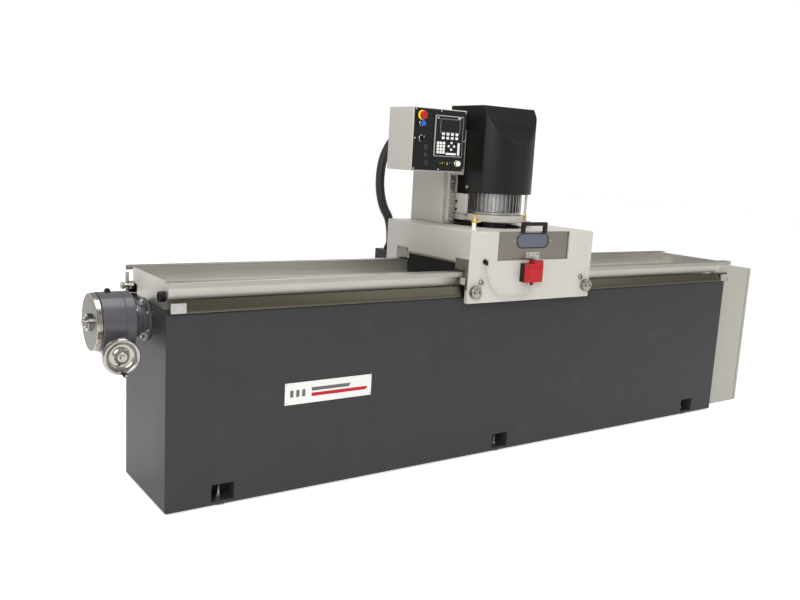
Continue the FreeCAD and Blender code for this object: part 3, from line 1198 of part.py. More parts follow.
def motor_cover():
    """Thin cover over the motor, open below, stepped up at the rear over the saddle."""
    outer = cover_block(0, COVER_Z0, COVER_TOP, 0)
    outer = outer.makeFillet(6, [e for e in outer.Edges if e.CenterOfMass.z > COVER_TOP - 1])
    inner = cover_block(-COVER_T, COVER_Z0 - 1, COVER_TOP - COVER_T, COVER_T * 2.4)
    notch = block(HEAD_X - 300, COVER_STEP_Y, COVER_Z0 - 1, HEAD_X + 300, 300, COVER_STEP_Z)
    shell = outer.cut([inner, notch])
    screws = []
    for side in (-1, 1):
        a, b = sorted((HEAD_X + side * COVER_HALF, HEAD_X + side * (COVER_HALF + 4)))
        screws.append(rod("x", 12, COVER_Z0 + 24, a, b, 8))
        a, b = sorted((HEAD_X + side * (MOTOR_R - 0.2), HEAD_X + side * (COVER_HALF - COVER_T)))
        screws.append(rod("x", 12, COVER_Z0 + 24, a, b, 7))
    return [shell] + screws


def feed_screw():
    """Vertical screw that feeds the head, in its end bearings."""
    screw = rod("z", HEAD_X, SCREW_Y, CAR_TOP + 32, COL_TOP - 14, SCREW_R)
    ends = [rod("z", HEAD_X, SCREW_Y, CAR_TOP + 2, CAR_TOP + 33, SCREW_END_R),
            rod("z", HEAD_X, SCREW_Y, COL_TOP - 15, COL_TOP + 2, SCREW_END_R)]
    return screw.fuse(ends).removeSplitter()


def spindle_shaft():
    return rod("z", HEAD_X, 0, WHEEL_LOW + 56, RING_Z1 + 196, SPINDLE_R)


def wheel_hub():
    """Wheel flange with a rim that backs the segments."""
    z0 = WHEEL_LOW + SEGMENT_H
    hub = rod("z", HEAD_X, 0, z0, z0 + 18, WHEEL_R)
    hub = hub.fuse(rod("z", HEAD_X, 0, z0 + 17, z0 + 24, 55))
    hub = hub.fuse(ring("z", HEAD_X, 0, z0 - 16, z0 + 1, WHEEL_R, WHEEL_R - 5))
    hub = hub.fuse(ring("z", HEAD_X, 0, z0 - 16, z0 + 1, WHEEL_R - 6 - SEGMENT_W, WHEEL_R - 14 - SEGMENT_W))
    return hub.removeSplitter().cut(rod("z", HEAD_X, 0, WHEEL_LOW, z0 + 60, SPINDLE_R + RUN))


def wheel_segments():
    """Abrasive segments clamped in a ring."""
    z0 = WHEEL_LOW
    whole = ring("z", HEAD_X, 0, z0, z0 + SEGMENT_H, WHEEL_R - 5.2, WHEEL_R - 5.8 - SEGMENT_W)
    pieces = []
    for k in range(SEGMENTS):
        wedge = prism("z", [(0, 0)] + [
            (1.5 * WHEEL_R * math.cos(math.radians(a)), 1.5 * WHEEL_R * math.sin(math.radians(a)))
            for a in (-17, 0, 17)
        ], z0 - 1, z0 + SEGMENT_H + 1)
        wedge.rotate(V(0, 0, 0), V(0, 0, 1), 360.0 * k / SEGMENTS)
        wedge.translate(V(HEAD_X, 0, 0))
        pieces.append(whole.common(wedge))
    return pieces


# ---------------------------------------------------------------- all sub-parts
def main():
    save("bed_walls", *bed_walls())
    save("bed_frame", *bed_frame())
    pockets = [piece for x in POCKET_X for piece in levelling_pocket(x)]
    save("levelling_pockets", *pockets, *[mirrored(p, "y") for p in pockets])
    feet = [piece for x in POCKET_X for piece in levelling_foot(x)]
    save("levelling_feet", *feet, *[mirrored(p, "y") for p in feet])
    save("travel_rails", *travel_rails())
    save("travel_rack", travel_rack())
    stops = [guard_stop(side, end) for side in (-1, 1) for end in (-1, 1)]
    save("way_guards", way_guard(-1), way_guard(1))
    save("guard_stops", *stops)
    save("trough_shell", *trough_shell())
    save("trough_rims", trough_rim(-1), trough_rim(1))
    save("end_fasteners", *end_fasteners())
    save("badge_plate", badge_plate())
    save("bed_glands", *bed_glands())
    save("gear_case", *gear_case())
    save("trunnion_bearings", *trunnion_bearings())
    save("cabinet_body", *cabinet_body())
    save("cabinet_electrics", *cabinet_electrics())
    save("cabinet_door", *cabinet_door())
    save("door_latch", door_latch())
    save("chuck_carrier", *chuck_carrier())
    save("magnetic_chuck", *magnetic_chuck())
    save("tilt_shafts", *tilt_shafts(), worm_wheel())
    save("tilt_dial", *tilt_dial())
    save("worm_shaft", worm_shaft())
    save("handwheel", handwheel())
    save("crank_grip", crank_grip())
    save("carriage_top", carriage_top())
    save("carriage_front", *carriage_front())
    save("carriage_skirts", *carriage_skirts())
    save("carriage_shoes", *carriage_shoes())
    save("wiper_brackets", *wiper_brackets())
    save("splash_curtains", *splash_curtains())
    save("guide_adjusters", *guide_adjusters())
    save("travel_gearmotor", *travel_gearmotor())
    save("travel_pinion", travel_pinion())
    save("column", *column())
    save("control_box", *control_box())
    save("control_panel", *control_panel())
    save("display_unit", display_unit())
    save("estop_head", button(ESTOP, 18, 16, 6))
    save("blue_button", button(BLUE, 12, 8, 2))
    save("cream_button", button(CREAM, 12, 6, 2))
    save("selector_knob", selector_knob())
    save("door_panel", door_panel())
    save("door_window", door_window())
    save("door_handle", door_handle())
    save("interlock_switch", *interlock_switch())
    save("interlock_key", interlock_key())
    save("interlock_cable", bent_tube("interlock_cable", CABLE_ROUTE, CABLE_R))
    save("conduit_hose", bent_tube("conduit_hose", HOSE_ROUTE, HOSE_R))
    save("carriage_glands", *carriage_glands())
    save("coolant_valve", *coolant_valve())
    save("tap_lever", tap_lever())
    save("coolant_fittings", *coolant_fittings())
    save("head_saddle", *head_saddle())
    save("spindle_motor", *motor())
    save("motor_cover", *motor_cover())
    save("feed_screw", feed_screw())
    save("spindle_shaft", spindle_shaft())
    save("grinding_wheel", wheel_hub(), *wheel_segments())
    write_all()


main()
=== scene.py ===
import json
import math

import bpy
from mathutils import Matrix, Vector

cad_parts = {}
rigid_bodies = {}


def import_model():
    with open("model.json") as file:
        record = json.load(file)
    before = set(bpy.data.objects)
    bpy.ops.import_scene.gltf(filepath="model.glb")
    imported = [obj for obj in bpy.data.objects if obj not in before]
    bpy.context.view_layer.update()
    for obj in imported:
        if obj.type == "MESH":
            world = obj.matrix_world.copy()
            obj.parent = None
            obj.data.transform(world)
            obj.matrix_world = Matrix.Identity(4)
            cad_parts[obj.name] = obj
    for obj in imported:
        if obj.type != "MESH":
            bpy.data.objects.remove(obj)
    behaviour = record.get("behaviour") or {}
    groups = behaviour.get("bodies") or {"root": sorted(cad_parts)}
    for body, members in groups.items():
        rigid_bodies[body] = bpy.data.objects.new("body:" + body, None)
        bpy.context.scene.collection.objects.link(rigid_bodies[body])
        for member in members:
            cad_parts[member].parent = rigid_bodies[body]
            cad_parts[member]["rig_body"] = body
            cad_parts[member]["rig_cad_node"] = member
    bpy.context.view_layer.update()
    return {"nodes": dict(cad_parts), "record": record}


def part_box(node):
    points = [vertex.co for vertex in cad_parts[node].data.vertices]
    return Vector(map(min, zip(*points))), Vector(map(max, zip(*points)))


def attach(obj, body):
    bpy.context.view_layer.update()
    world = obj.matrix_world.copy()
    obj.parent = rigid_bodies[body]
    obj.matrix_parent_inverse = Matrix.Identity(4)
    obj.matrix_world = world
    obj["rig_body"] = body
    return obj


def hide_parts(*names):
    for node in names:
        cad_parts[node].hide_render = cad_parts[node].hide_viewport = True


bl_info = {
    "name": "Travelling-head surface grinder",
    "version": (1, 0, 0),
    "blender": (4, 5, 0),
    "location": "3D View > Sidebar > Grinder",
    "description": "Models the finished pieces of a long surface grinder round its packed frame",
    "category": "Add Mesh",
}

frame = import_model()
NODES = frame["nodes"]
RECORD = frame["record"]
BODY_OF = {n: body for body, nodes in RECORD["behaviour"]["bodies"].items() for n in nodes}

MM = 0.001
BED_LOW, BED_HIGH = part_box("bed_walls")
BED_X, BED_Y = (BED_LOW.x + BED_HIGH.x) / 2, (BED_LOW.y + BED_HIGH.y) / 2
AXES = {"x": Vector((1, 0, 0)), "y": Vector((0, 1, 0)), "z": Vector((0, 0, 1))}
TURNS = {"x": (0, math.pi / 2, 0), "y": (-math.pi / 2, 0, 0), "z": (0, 0, 0)}

# Axes that several pieces share: their other two coordinates, in X, Y, Z order, in millimetres.
SPINDLE_X = 60
SPINDLE_AXIS = (SPINDLE_X, 0)
FEED_AXIS = (SPINDLE_X, 226)
TILT_AXIS = (0, 690)
WORM_AXIS = (-1730, 595)
GRIP_AXIS = (-1730, 540)
HINGE_AXIS = (1930, 236)
TILT_CENTRE = (0, 0, 690)
WHEEL_CENTRE = (-1730, 0, 595)
HINGE_HEIGHTS = (160, 640)
FOOT_PLACES = (-1373, 0, 1373)
SLOPE = 1.78
MERGED = 2e-6


# -------- places
def at(x, y, z):
    """Point given in millimetres from the floor under the middle of the bed."""
    return Vector((BED_X + x * MM, BED_Y + y * MM, z * MM))


def along(axis, a, b, height):
    """Point at a height along an axis; a and b are its other coordinates in X, Y, Z order."""
    return {"x": at(height, a, b), "y": at(a, height, b), "z": at(a, b, height)}[axis]


# -------- modelling
def alone(obj):
    """Select one object and make it active."""
    bpy.ops.object.select_all(action="DESELECT")
    obj.select_set(True)
    bpy.context.view_layer.objects.active = obj
    return obj


def applied():
    """Put the active object's place, turn and size into its mesh."""
    bpy.ops.object.transform_apply(location=True, rotation=True, scale=True)
    return bpy.context.object


def block(x0, y0, z0, x1, y1, z1):
    """Box between two corners."""
    low, high = at(x0, y0, z0), at(x1, y1, z1)
    bpy.ops.mesh.primitive_cube_add(size=1)
    obj = bpy.context.object
    obj.location = (low + high) / 2
    obj.scale = high - low
    return applied()


def rod(axis, a, b, start, end, radius, sides=48, tip=None):
    """Cylinder along an axis, or a cone if the tip's radius is given."""
    bpy.ops.mesh.primitive_cone_add(
        vertices=sides, radius1=radius * MM, radius2=(radius if tip is None else tip) * MM,
        depth=(end - start) * MM, rotation=TURNS[axis])
    bpy.context.object.location = along(axis, a, b, (start + end) / 2)
    return applied()


def drawn(points):
    """Open line through the points, left in edit mode."""
    bpy.ops.mesh.primitive_plane_add(size=1)
    obj = bpy.context.object
    bpy.ops.object.mode_set(mode="EDIT")
    bpy.ops.mesh.select_mode(type="VERT")
    bpy.ops.mesh.select_all(action="SELECT")
    bpy.ops.mesh.merge(type="CENTER")
    bpy.ops.transform.translate(value=points[0])
    for before, after in zip(points, points[1:]):
        bpy.ops.mesh.extrude_vertices_move(TRANSFORM_OT_translate={"value": after - before})
    bpy.ops.mesh.select_all(action="SELECT")
    return obj


def closed_up():
    """Merge doubles, turn the faces outwards and leave edit mode."""
    bpy.ops.mesh.select_all(action="SELECT")
    bpy.ops.mesh.remove_doubles(threshold=MERGED)
    bpy.ops.mesh.normals_make_consistent(inside=False)
    bpy.ops.object.mode_set(mode="OBJECT")
    return bpy.context.object


def prism(axis, points, start, end):
    """Outline of the two coordinates across an axis, extruded along it."""
    drawn([along(axis, a, b, start) for a, b in points])
    bpy.ops.mesh.edge_face_add()
    bpy.ops.mesh.extrude_region_move(
        TRANSFORM_OT_translate={"value": AXES[axis] * (end - start) * MM})
    return closed_up()


def turned(axis, a, b, profile, sides=72):
    """Profile of (radius, height) points spun round an axis."""
    drawn([along(axis, a + radius, b, height) for radius, height in profile])
    bpy.ops.mesh.spin(steps=sides, angle=math.tau, center=along(axis, a, b, 0), axis=AXES[axis])
    return closed_up()


def hoop(axis, a, b, profile, sides=72):
    """Profile of (radius, height) points, closed onto its first point and spun round an axis."""
    return turned(axis, a, b, [*profile, profile[0]], sides)


def modified(obj, kind, **settings):
    """Apply a modifier with its settings."""
    alone(obj)
    bpy.ops.object.modifier_add(type=kind)
    modifier = obj.modifiers[-1]
    for key, value in settings.items():
        setattr(modifier, key, value)
    bpy.ops.object.modifier_apply(modifier=modifier.name)
    return obj


def rounded(obj, width, segments=2, limit=30):
    """Bevel the edges that are sharper than the limit."""
    return modified(
        obj, "BEVEL", width=width * MM, segments=segments, limit_method="ANGLE",
        angle_limit=math.radians(limit), use_clamp_overlap=True)


def chosen(obj, test, kind="EDGE"):
    """Select edges by their middle and direction, or faces by their middle and normal, to edit."""
    alone(obj)
    mesh = obj.data
    for items in (mesh.vertices, mesh.edges, mesh.polygons):
        items.foreach_set("select", [False] * len(items))
    if kind == "FACE":
        for face in mesh.polygons:
            face.select = bool(test(face.center, face.normal))
    else:
        for edge in mesh.edges:
            start, end = (mesh.vertices[i].co for i in edge.vertices)
            edge.select = bool(test((start + end) / 2, (end - start).normalized()))
    bpy.ops.object.mode_set(mode="EDIT")
    bpy.ops.mesh.select_mode(type=kind)
    return obj


def runs_y(middle, way):
    """Whether an edge runs along Y."""
    return abs(way.y) > 0.9


def runs_z(middle, way):
    """Whether an edge runs along Z."""
    return abs(way.z) > 0.9


def eased(obj, width, segments, test):
    """Bevel only the edges that pass the test."""
    chosen(obj, test)
    bpy.ops.mesh.bevel(offset=width * MM, segments=segments, affect="EDGES", clamp_overlap=True)
    bpy.ops.object.mode_set(mode="OBJECT")
    return obj


def cut(obj, *tools):
    """Take the tools out of an object and delete them."""
    for tool in tools:
        modified(obj, "BOOLEAN", operation="DIFFERENCE", solver="EXACT", object=tool)
        bpy.data.objects.remove(tool)
    return obj


def copied(obj, offset=(0, 0, 0)):
    """Copy with its own mesh, moved by millimetres."""
    alone(obj)
    bpy.ops.object.duplicate(linked=False)
    bpy.context.object.location += Vector(offset) * MM
    return applied()


def swung(obj, spin, axis, centre):
    """Turn an object about an axis through a point."""
    alone(obj)
    turn = Matrix.Rotation(spin, 4, AXES[axis])
    obj.matrix_world = Matrix.Translation(centre) @ turn @ Matrix.Translation(
        -centre) @ obj.matrix_world
    return applied()


def circle(count, radius):
    """Points evenly round a circle, the first half a step on."""
    for k in range(count):
        angle = math.tau * (k + 0.5) / count
        yield radius * math.cos(angle), radius * math.sin(angle)


def sideways(side, near, far):
    """Range in X on one side of the spindle, between two distances from it."""
    return sorted((SPINDLE_X + side * near, SPINDLE_X + side * far))


def side_screw(side, near, far, y, z, radius, width, socket, depth):
    """Screw that faces away from the spindle, with a hexagon socket in its head."""
    x0, x1 = sideways(side, near, far)
    screw = rounded(rod("x", y, z, x0, x1, radius, 32), width)
    end = x0 if side < 0 else x1
    return cut(screw, rod("x", y, z, end - depth, end + depth, socket, 6))


def joined(*pieces):
    """One object of several."""
    alone(pieces[0])
    for piece in pieces[1:]:
        piece.select_set(True)
    bpy.ops.object.join()
    return bpy.context.object


def painted(obj, name):
    """Give a piece one finish."""
    obj.data.materials.clear()
    obj.data.materials.append(finish(name))
    return obj


def settled(obj, name, node, replaces=None, smooth=40):
    """Name and smooth a finished piece that rides as a node does, and replaces it or others."""
    alone(obj)
    bpy.ops.object.shade_smooth_by_angle(angle=math.radians(smooth))
    modified(obj, "WEIGHTED_NORMAL", keep_sharp=True)
    obj.name = name
    obj.data.name = name
    return declared(obj, node, [node] if replaces is None else replaces)


def declared(obj, node, replaces):
    """Let a piece ride as a node does, and hide the nodes it replaces."""
    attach(obj, BODY_OF[node])
    if replaces:
        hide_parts(*replaces)
    return obj


def refined(node, look, width=0.8, segments=2, limit=30):
    """Copy of a node with its doubles merged and its sharp edges eased."""
    alone(NODES[node])
    bpy.ops.object.duplicate(linked=False)
    obj = bpy.context.object
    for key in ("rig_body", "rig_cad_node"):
        if key in obj:
            del obj[key]
    obj.parent = None
    bpy.ops.object.mode_set(mode="EDIT")
    bpy.ops.mesh.select_all(action="SELECT")
    bpy.ops.mesh.remove_doubles(threshold=MERGED)
    bpy.ops.mesh.dissolve_limited(angle_limit=math.radians(0.4))
    bpy.ops.object.mode_set(mode="OBJECT")
    painted(obj, look)
    rounded(obj, width, segments, limit)
    return settled(obj, node + "_finished", node)


def coloured(look, *nodes):
    """Give CAD nodes that keep their shape a finish."""
    for node in nodes:
        mesh = NODES[node].data
        mesh.materials.clear()
        mesh.materials.append(finish(look))


# -------- finishes
class Wire:
    """Output of a shader node that takes part in sums."""

    def __init__(self, tree, socket):
        self.tree = tree
        self.socket = socket

    def sum(self, operation, first, second):
        return self.tree.node("ShaderNodeMath", {0: first, 1: second}, operation=operation)

    def __add__(self, other):
        return self.sum("ADD", self, other)

    __radd__ = __add__

    def __sub__(self, other):
        return self.sum("SUBTRACT", self, other)

    def __mul__(self, other):
        return self.sum("MULTIPLY", self, other)

    __rmul__ = __mul__

    def __lt__(self, other):
        return self.sum("LESS_THAN", self, other)


DUST = (0.55, 0.53, 0.49)


class Finish:
    """Node tree of one material, with its shader."""

    def __init__(self, name):
        self.material = bpy.data.materials.new(name)
        self.material.use_nodes = True
        self.nodes = self.material.node_tree.nodes
        self.links = self.material.node_tree.links
        self.shader = self.nodes["Principled BSDF"]

    def node(self, kind, inputs=None, output=0, stops=None, **settings):
        """Add a node: its settings first, then the values or wires of its sockets."""
        made = self.nodes.new(kind)
        for key, value in settings.items():
            setattr(made, key, value)
        if stops:
            ramp = made.color_ramp.elements
            while len(ramp) < len(stops):
                ramp.new(0.5)
            for element, (position, colour) in zip(ramp, stops):
                element.position = position
                element.color = colour if len(colour) == 4 else (*colour, 1)
        for key, value in (inputs or {}).items():
            self.feed(made.inputs[key], value)
        return Wire(self, made.outputs[output])

    def feed(self, socket, value):
        if isinstance(value, Wire):
            self.links.new(value.socket, socket)
        else:
            socket.default_value = value

    def set(self, **values):
        """Set or link the shader's sockets, named with underscores for spaces."""
        for key, value in values.items():
            self.feed(self.shader.inputs[key.replace("_", " ")], value)

    def spot(self, stretch=(1, 1, 1), centre=(0, 0, 0)):
        """Object coordinates, stretched about a point."""
        place = self.node("ShaderNodeTexCoord", output=3)
        shifted = self.node("ShaderNodeVectorMath", {0: place, 1: centre}, operation="SUBTRACT")
        return self.node("ShaderNodeVectorMath", {0: shifted, 1: stretch}, operation="MULTIPLY")

    def noise(self, scale, detail=3.0, stretch=(1, 1, 1), rough=0.5):
        sockets = {
            "Vector": self.spot(stretch), "Scale": scale, "Detail": detail, "Roughness": rough}
        return self.node("ShaderNodeTexNoise", sockets)

    def cells(self, scale, output=0, feature="F1"):
        sockets = {"Vector": self.spot(), "Scale": scale}
        return self.node("ShaderNodeTexVoronoi", sockets, output=output, feature=feature)

    def mixed(self, factor, first, second):
        """Colour between two, each with or without its alpha."""
        ends = [c if isinstance(c, Wire) or len(c) == 4 else (*c, 1) for c in (first, second)]
        return self.node(
            "ShaderNodeMix", {0: factor, 6: ends[0], 7: ends[1]}, output=2, data_type="RGBA")

    def between(self, value, low, high):
        """Value stretched so that low becomes 0 and high becomes 1, and clipped."""
        return self.node("ShaderNodeMapRange", {0: value, 1: low, 2: high, 3: 0.0, 4: 1.0})

    def bumped(self, height, strength, distance):
        """Bump from a height, over what the shader already has."""
        sockets = {"Height": height, "Strength": strength, "Distance": distance}
        normal = self.shader.inputs["Normal"]
        if normal.is_linked:
            sockets["Normal"] = Wire(self, normal.links[0].from_socket)
        self.feed(normal, self.node("ShaderNodeBump", sockets))


def shade(colour, factor):
    return tuple(min(1.0, c * factor) for c in colour[:3])


def paint_finish(name, colour, rough=0.38, grain=520.0, dust=0.06, depth=0.00012, gloss=0.3):
    """Sprayed paint: faint orange peel, slow tone changes, dust and tiny scuffs."""
    look = Finish(name)
    slow = look.noise(2.6, 4.0)
    fine = look.noise(grain, 2.0)
    scuff = look.between(look.noise(38.0, 8.0, rough=0.72), 0.66, 0.78)
    tone = look.mixed(slow, shade(colour, 0.92), shade(colour, 1.07))
    settled_dust = look.between(look.noise(9.0, 7.0, rough=0.65), 0.52, 0.8) * dust
    tone = look.mixed(settled_dust, tone, DUST)
    look.set(
        Base_Color=look.mixed(scuff * 0.12, tone, shade(colour, 0.7)),
        Roughness=rough + (slow - 0.5) * 0.14 + (fine - 0.5) * 0.1 + scuff * 0.12,
        Specular_IOR_Level=gloss)
    look.bumped(fine, 0.35, depth)
    look.bumped(look.noise(60.0, 2.0), 0.12, 0.0004)
    return look.material


def brushed_finish(name, colour, rough=0.32, stretch=(3, 700, 700), smear=0.10, metal=0.9):
    """Rolled sheet with a grain, handling smears and water marks."""
    look = Finish(name)
    grain = look.noise(1.0, 5.0, stretch, 0.7)
    slow = look.noise(3.2, 5.0, rough=0.6)
    marks = look.between(look.noise(26.0, 6.0, rough=0.7), 0.55, 0.75)
    tone = look.mixed(grain, shade(colour, 0.86), shade(colour, 1.12))
    tone = look.mixed(slow * 0.35, tone, shade(colour, 0.72))
    look.set(
        Base_Color=tone, Metallic=metal, Roughness=rough + (grain - 0.5) * 0.22 + marks * smear
        + (slow - 0.5) * 0.12)
    look.bumped(grain, 0.3, 0.00006)
    return look.material


def turned_finish(name, colour, origin, across, rough, pitch=1500.0):
    """Lathe-cut metal: fine rings round an axis and light oil marks."""
    look = Finish(name)
    place = look.spot(across, tuple(at(*origin)))
    radius = look.node("ShaderNodeVectorMath", {0: place}, output=1, operation="LENGTH")
    rings = look.node("ShaderNodeMath", {0: radius * pitch}, operation="SINE")
    broad = look.node("ShaderNodeMath", {0: radius * (pitch * 0.23)}, operation="SINE")
    slow = look.noise(14.0, 5.0)
    tone = look.mixed(rings * 0.25 + 0.5, shade(colour, 0.84), shade(colour, 1.1))
    look.set(
        Base_Color=look.mixed(slow * 0.4, tone, shade(colour, 0.78)), Metallic=0.96,
        Roughness=rough + broad * 0.05 + (slow - 0.5) * 0.16)
    look.bumped(rings, 0.16, 0.00005)
    return look.material


def metal_finish(name, colour, rough=0.3, spots=0.2, metal=0.95):
    """Ground or blackened steel with handling marks and pitting."""
    look = Finish(name)
    slow = look.noise(18.0, 6.0)
    fine = look.noise(420.0, 3.0)
    pits = look.between(look.cells(260.0), 0.0, 0.22)
    look.set(
        Base_Color=look.mixed(slow, shade(colour, 0.8), shade(colour, 1.15)), Metallic=metal,
        Roughness=rough + (slow - 0.5) * spots + (fine - 0.5) * 0.12)
    look.bumped(pits, 0.12, 0.00008)
    look.bumped(fine, 0.1, 0.00005)
    return look.material


def plastic_finish(name, colour, rough=0.42, grain=900.0, strength=0.35, scuffs=0.1):
    """Moulded plastic with an eroded grain and rubbed patches."""
    look = Finish(name)
    slow = look.noise(5.0, 5.0)
    grains = look.cells(grain)
    rubbed = look.between(look.noise(22.0, 7.0, (1, 1, 2.5), 0.68), 0.6, 0.8)
    look.set(
        Base_Color=look.mixed(slow * 0.6 + rubbed * scuffs, colour, shade(colour, 1.35)),
        Roughness=rough + (slow - 0.5) * 0.12 - rubbed * scuffs, Specular_IOR_Level=0.25)
    look.bumped(grains, strength, 0.00012)
    return look.material


def glass_finish(name, colour):
    """Tinted pane with faint dust and wipe marks."""
    look = Finish(name)
    wipe = look.noise(4.0, 5.0, (3, 1, 9), 0.6)
    look.set(
        Base_Color=look.mixed(wipe, colour, shade(colour, 1.3)), Roughness=0.06 + wipe * 0.1,
        Alpha=0.82, Coat_Weight=0.5)
    look.bumped(wipe, 0.05, 0.0002)
    return look.material


def abrasive_finish(name, colour):
    """Bonded grit of mixed grains."""
    look = Finish(name)
    grit = look.cells(1100.0, output=1)
    depth = look.cells(1100.0)
    mixed = look.mixed(0.45, colour, grit)
    look.set(Base_Color=look.mixed(0.7, mixed, colour), Roughness=0.85 + depth * 0.1)
    look.bumped(depth, 0.9, 0.0006)
    return look.material


def chuck_finish(name, colour):
    """Ground pole plate: steel poles with thin bronze lines across, and grinding marks."""
    look = Finish(name)
    place = look.spot((1, 0, 0))
    across = look.node("ShaderNodeSeparateXYZ", {0: place})
    wave = look.node("ShaderNodeMath", {0: across * 55.0}, operation="FRACT")
    line = wave < 0.12
    marks = look.noise(1.0, 4.0, (500, 14, 500), 0.6)
    tone = look.mixed(marks, shade(colour, 0.85), shade(colour, 1.12))
    look.set(
        Base_Color=look.mixed(line, tone, (0.42, 0.28, 0.12)), Metallic=0.92,
        Roughness=0.26 + marks * 0.16)
    look.bumped(marks, 0.15, 0.00008)
    return look.material


def screen_finish(name, colour):
    """Unlit display behind glass, with its fine dot grid."""
    look = Finish(name)
    dots = look.cells(1600.0)
    look.set(
        Base_Color=look.mixed(dots, colour, shade(colour, 1.5)),
        Roughness=0.12 + look.noise(30.0) * 0.1, Coat_Weight=0.6, Coat_Roughness=0.05)
    look.bumped(dots, 0.08, 0.00005)
    return look.material


def hose_finish(name, colour):
    """Ribbed conduit: rings along the hose's own length."""
    look = Finish(name)
    uv = look.node("ShaderNodeTexCoord", output=2)
    parts = look.node("ShaderNodeSeparateXYZ", {0: uv})
    ribs = look.node("ShaderNodeMath", {0: parts * (math.tau * 110)}, operation="SINE")
    slow = look.noise(16.0, 5.0)
    look.set(
        Base_Color=look.mixed(slow, shade(colour, 0.8), shade(colour, 1.4)),
        Roughness=0.42 + ribs * 0.06 + (slow - 0.5) * 0.1)
    look.bumped(ribs, 0.55, 0.0012)
    return look.material


def floor_finish(name, colour):
    """Pale studio floor with hardly visible roller marks."""
    look = Finish(name)
    slow = look.noise(0.8, 4.0)
    look.set(
        Base_Color=look.mixed(slow, shade(colour, 0.99), colour), Roughness=0.75 + slow * 0.1,
        Emission_Color=(1, 1, 1, 1), Emission_Strength=0.66)
    return look.material


MADE = {}
# Each finish has its recipe, its colour or the setting that gives it, and the recipe's values.
FINISHES = {
    "bed_paint": (paint_finish, "bed", 0.36, 480, 0.015, 0.00012, 0.12),
    "gear_paint": (paint_finish, "gear", 0.24, 420, 0.04),
    "body_paint": (paint_finish, "body", 0.42, 520, 0.10, 0.00016),
    "cabinet_paint": (paint_finish, "cabinet", 0.48, 600, 0.10, 0.00016),
    "stainless": (brushed_finish, "stainless", 0.34),
    # The rims take the same stainless darkened to 0.74: painted shade, not a different sheet.
    "rim_sheet": (brushed_finish, ("stainless", 0.74), 0.34),
    "trough_sheet": (brushed_finish, ("stainless", 1.25), 0.42, (3, 300, 300)),
    "door_sheet": (brushed_finish, (0.235, 0.215, 0.185), 0.34, (500, 500, 3)),
    "guard_sheet": (brushed_finish, (0.13, 0.118, 0.09), 0.3, (2, 500, 500), 0.06, 1.0),
    "badge": (brushed_finish, (0.66, 0.65, 0.63), 0.3, (3, 500, 500), 0.08, 0.7),
    "ground_steel": (metal_finish, (0.47, 0.45, 0.42), 0.26),
    "dark_steel": (metal_finish, (0.07, 0.07, 0.072), 0.42),
    "aluminium": (metal_finish, (0.42, 0.415, 0.41), 0.30, 0.12),
    "dial_face": (turned_finish, (0.075, 0.07, 0.058), TILT_CENTRE, (0, 1, 1), 0.22),
    "dial_band": (metal_finish, (0.42, 0.39, 0.34), 0.24, 0.1, 1.0),
    "wheel_chrome": (turned_finish, (0.40, 0.385, 0.355), WHEEL_CENTRE, (1, 0, 1), 0.19),
    "adjuster_steel": (metal_finish, (0.30, 0.28, 0.25), 0.24, 0.3),
    "brass": (metal_finish, (0.66, 0.47, 0.17), 0.24, 0.16),
    "cover_plastic": (plastic_finish, "cover", 0.34, 1100, 0.10, 0.03),
    "panel_black": (plastic_finish, (0.0035, 0.004, 0.004), 0.30, 1300, 0.06, 0.03),
    "black_plastic": (plastic_finish, (0.006, 0.006, 0.006), 0.38, 900, 0.2),
    "grey_plastic": (plastic_finish, (0.09, 0.095, 0.10), 0.4, 1200, 0.2),
    "red_plastic": (plastic_finish, "switch", 0.32, 1200, 0.15, 0.08),
    "blue_plastic": (plastic_finish, (0.008, 0.10, 0.42), 0.25, 1400, 0.06),
    "yellow_plastic": (plastic_finish, (0.85, 0.55, 0.02), 0.35, 1400, 0.06),
    "cream_plastic": (plastic_finish, (0.80, 0.76, 0.62), 0.38, 1400, 0.06),
    "pale_plastic": (plastic_finish, (0.26, 0.26, 0.255), 0.4, 1200, 0.1, 0.05),
    "key_plastic": (plastic_finish, (0.62, 0.62, 0.60), 0.45, 1500, 0.08),
    "cable_sheath": (plastic_finish, (0.40, 0.39, 0.35), 0.45, 1500, 0.1),
    "rubber": (plastic_finish, (0.008, 0.008, 0.008), 0.6, 700, 0.3, 0.1),
    "clear_tube": (plastic_finish, (0.55, 0.53, 0.47), 0.16, 1500, 0.04),
    "hose": (hose_finish, (0.006, 0.006, 0.006)),
    "window": (glass_finish, (0.07, 0.085, 0.12)),
    "screen": (screen_finish, (0.035, 0.045, 0.045)),
    "abrasive": (abrasive_finish, (0.50, 0.27, 0.21)),
    "pole_plate": (chuck_finish, (0.48, 0.47, 0.45)),
    "floor": (floor_finish, (0.80, 0.80, 0.80)),
}


def finish(name):
    """Material by its name, made when it is first asked for."""
    if name not in MADE:
        recipe, colour, *values = FINISHES[name]
        tones = bpy.context.scene.grinder_colours
        if isinstance(colour, str):
            colour = getattr(tones, colour)
        elif isinstance(colour[0], str):
            colour = shade(getattr(tones, colour[0]), colour[1])
        MADE[name] = recipe(name, colour, *values)
    return MADE[name]


# -------- settings
def tone(name, description, colour):
    """Colour setting."""
    return bpy.props.FloatVectorProperty(
        name=name, description=description, subtype="COLOR", default=colour)


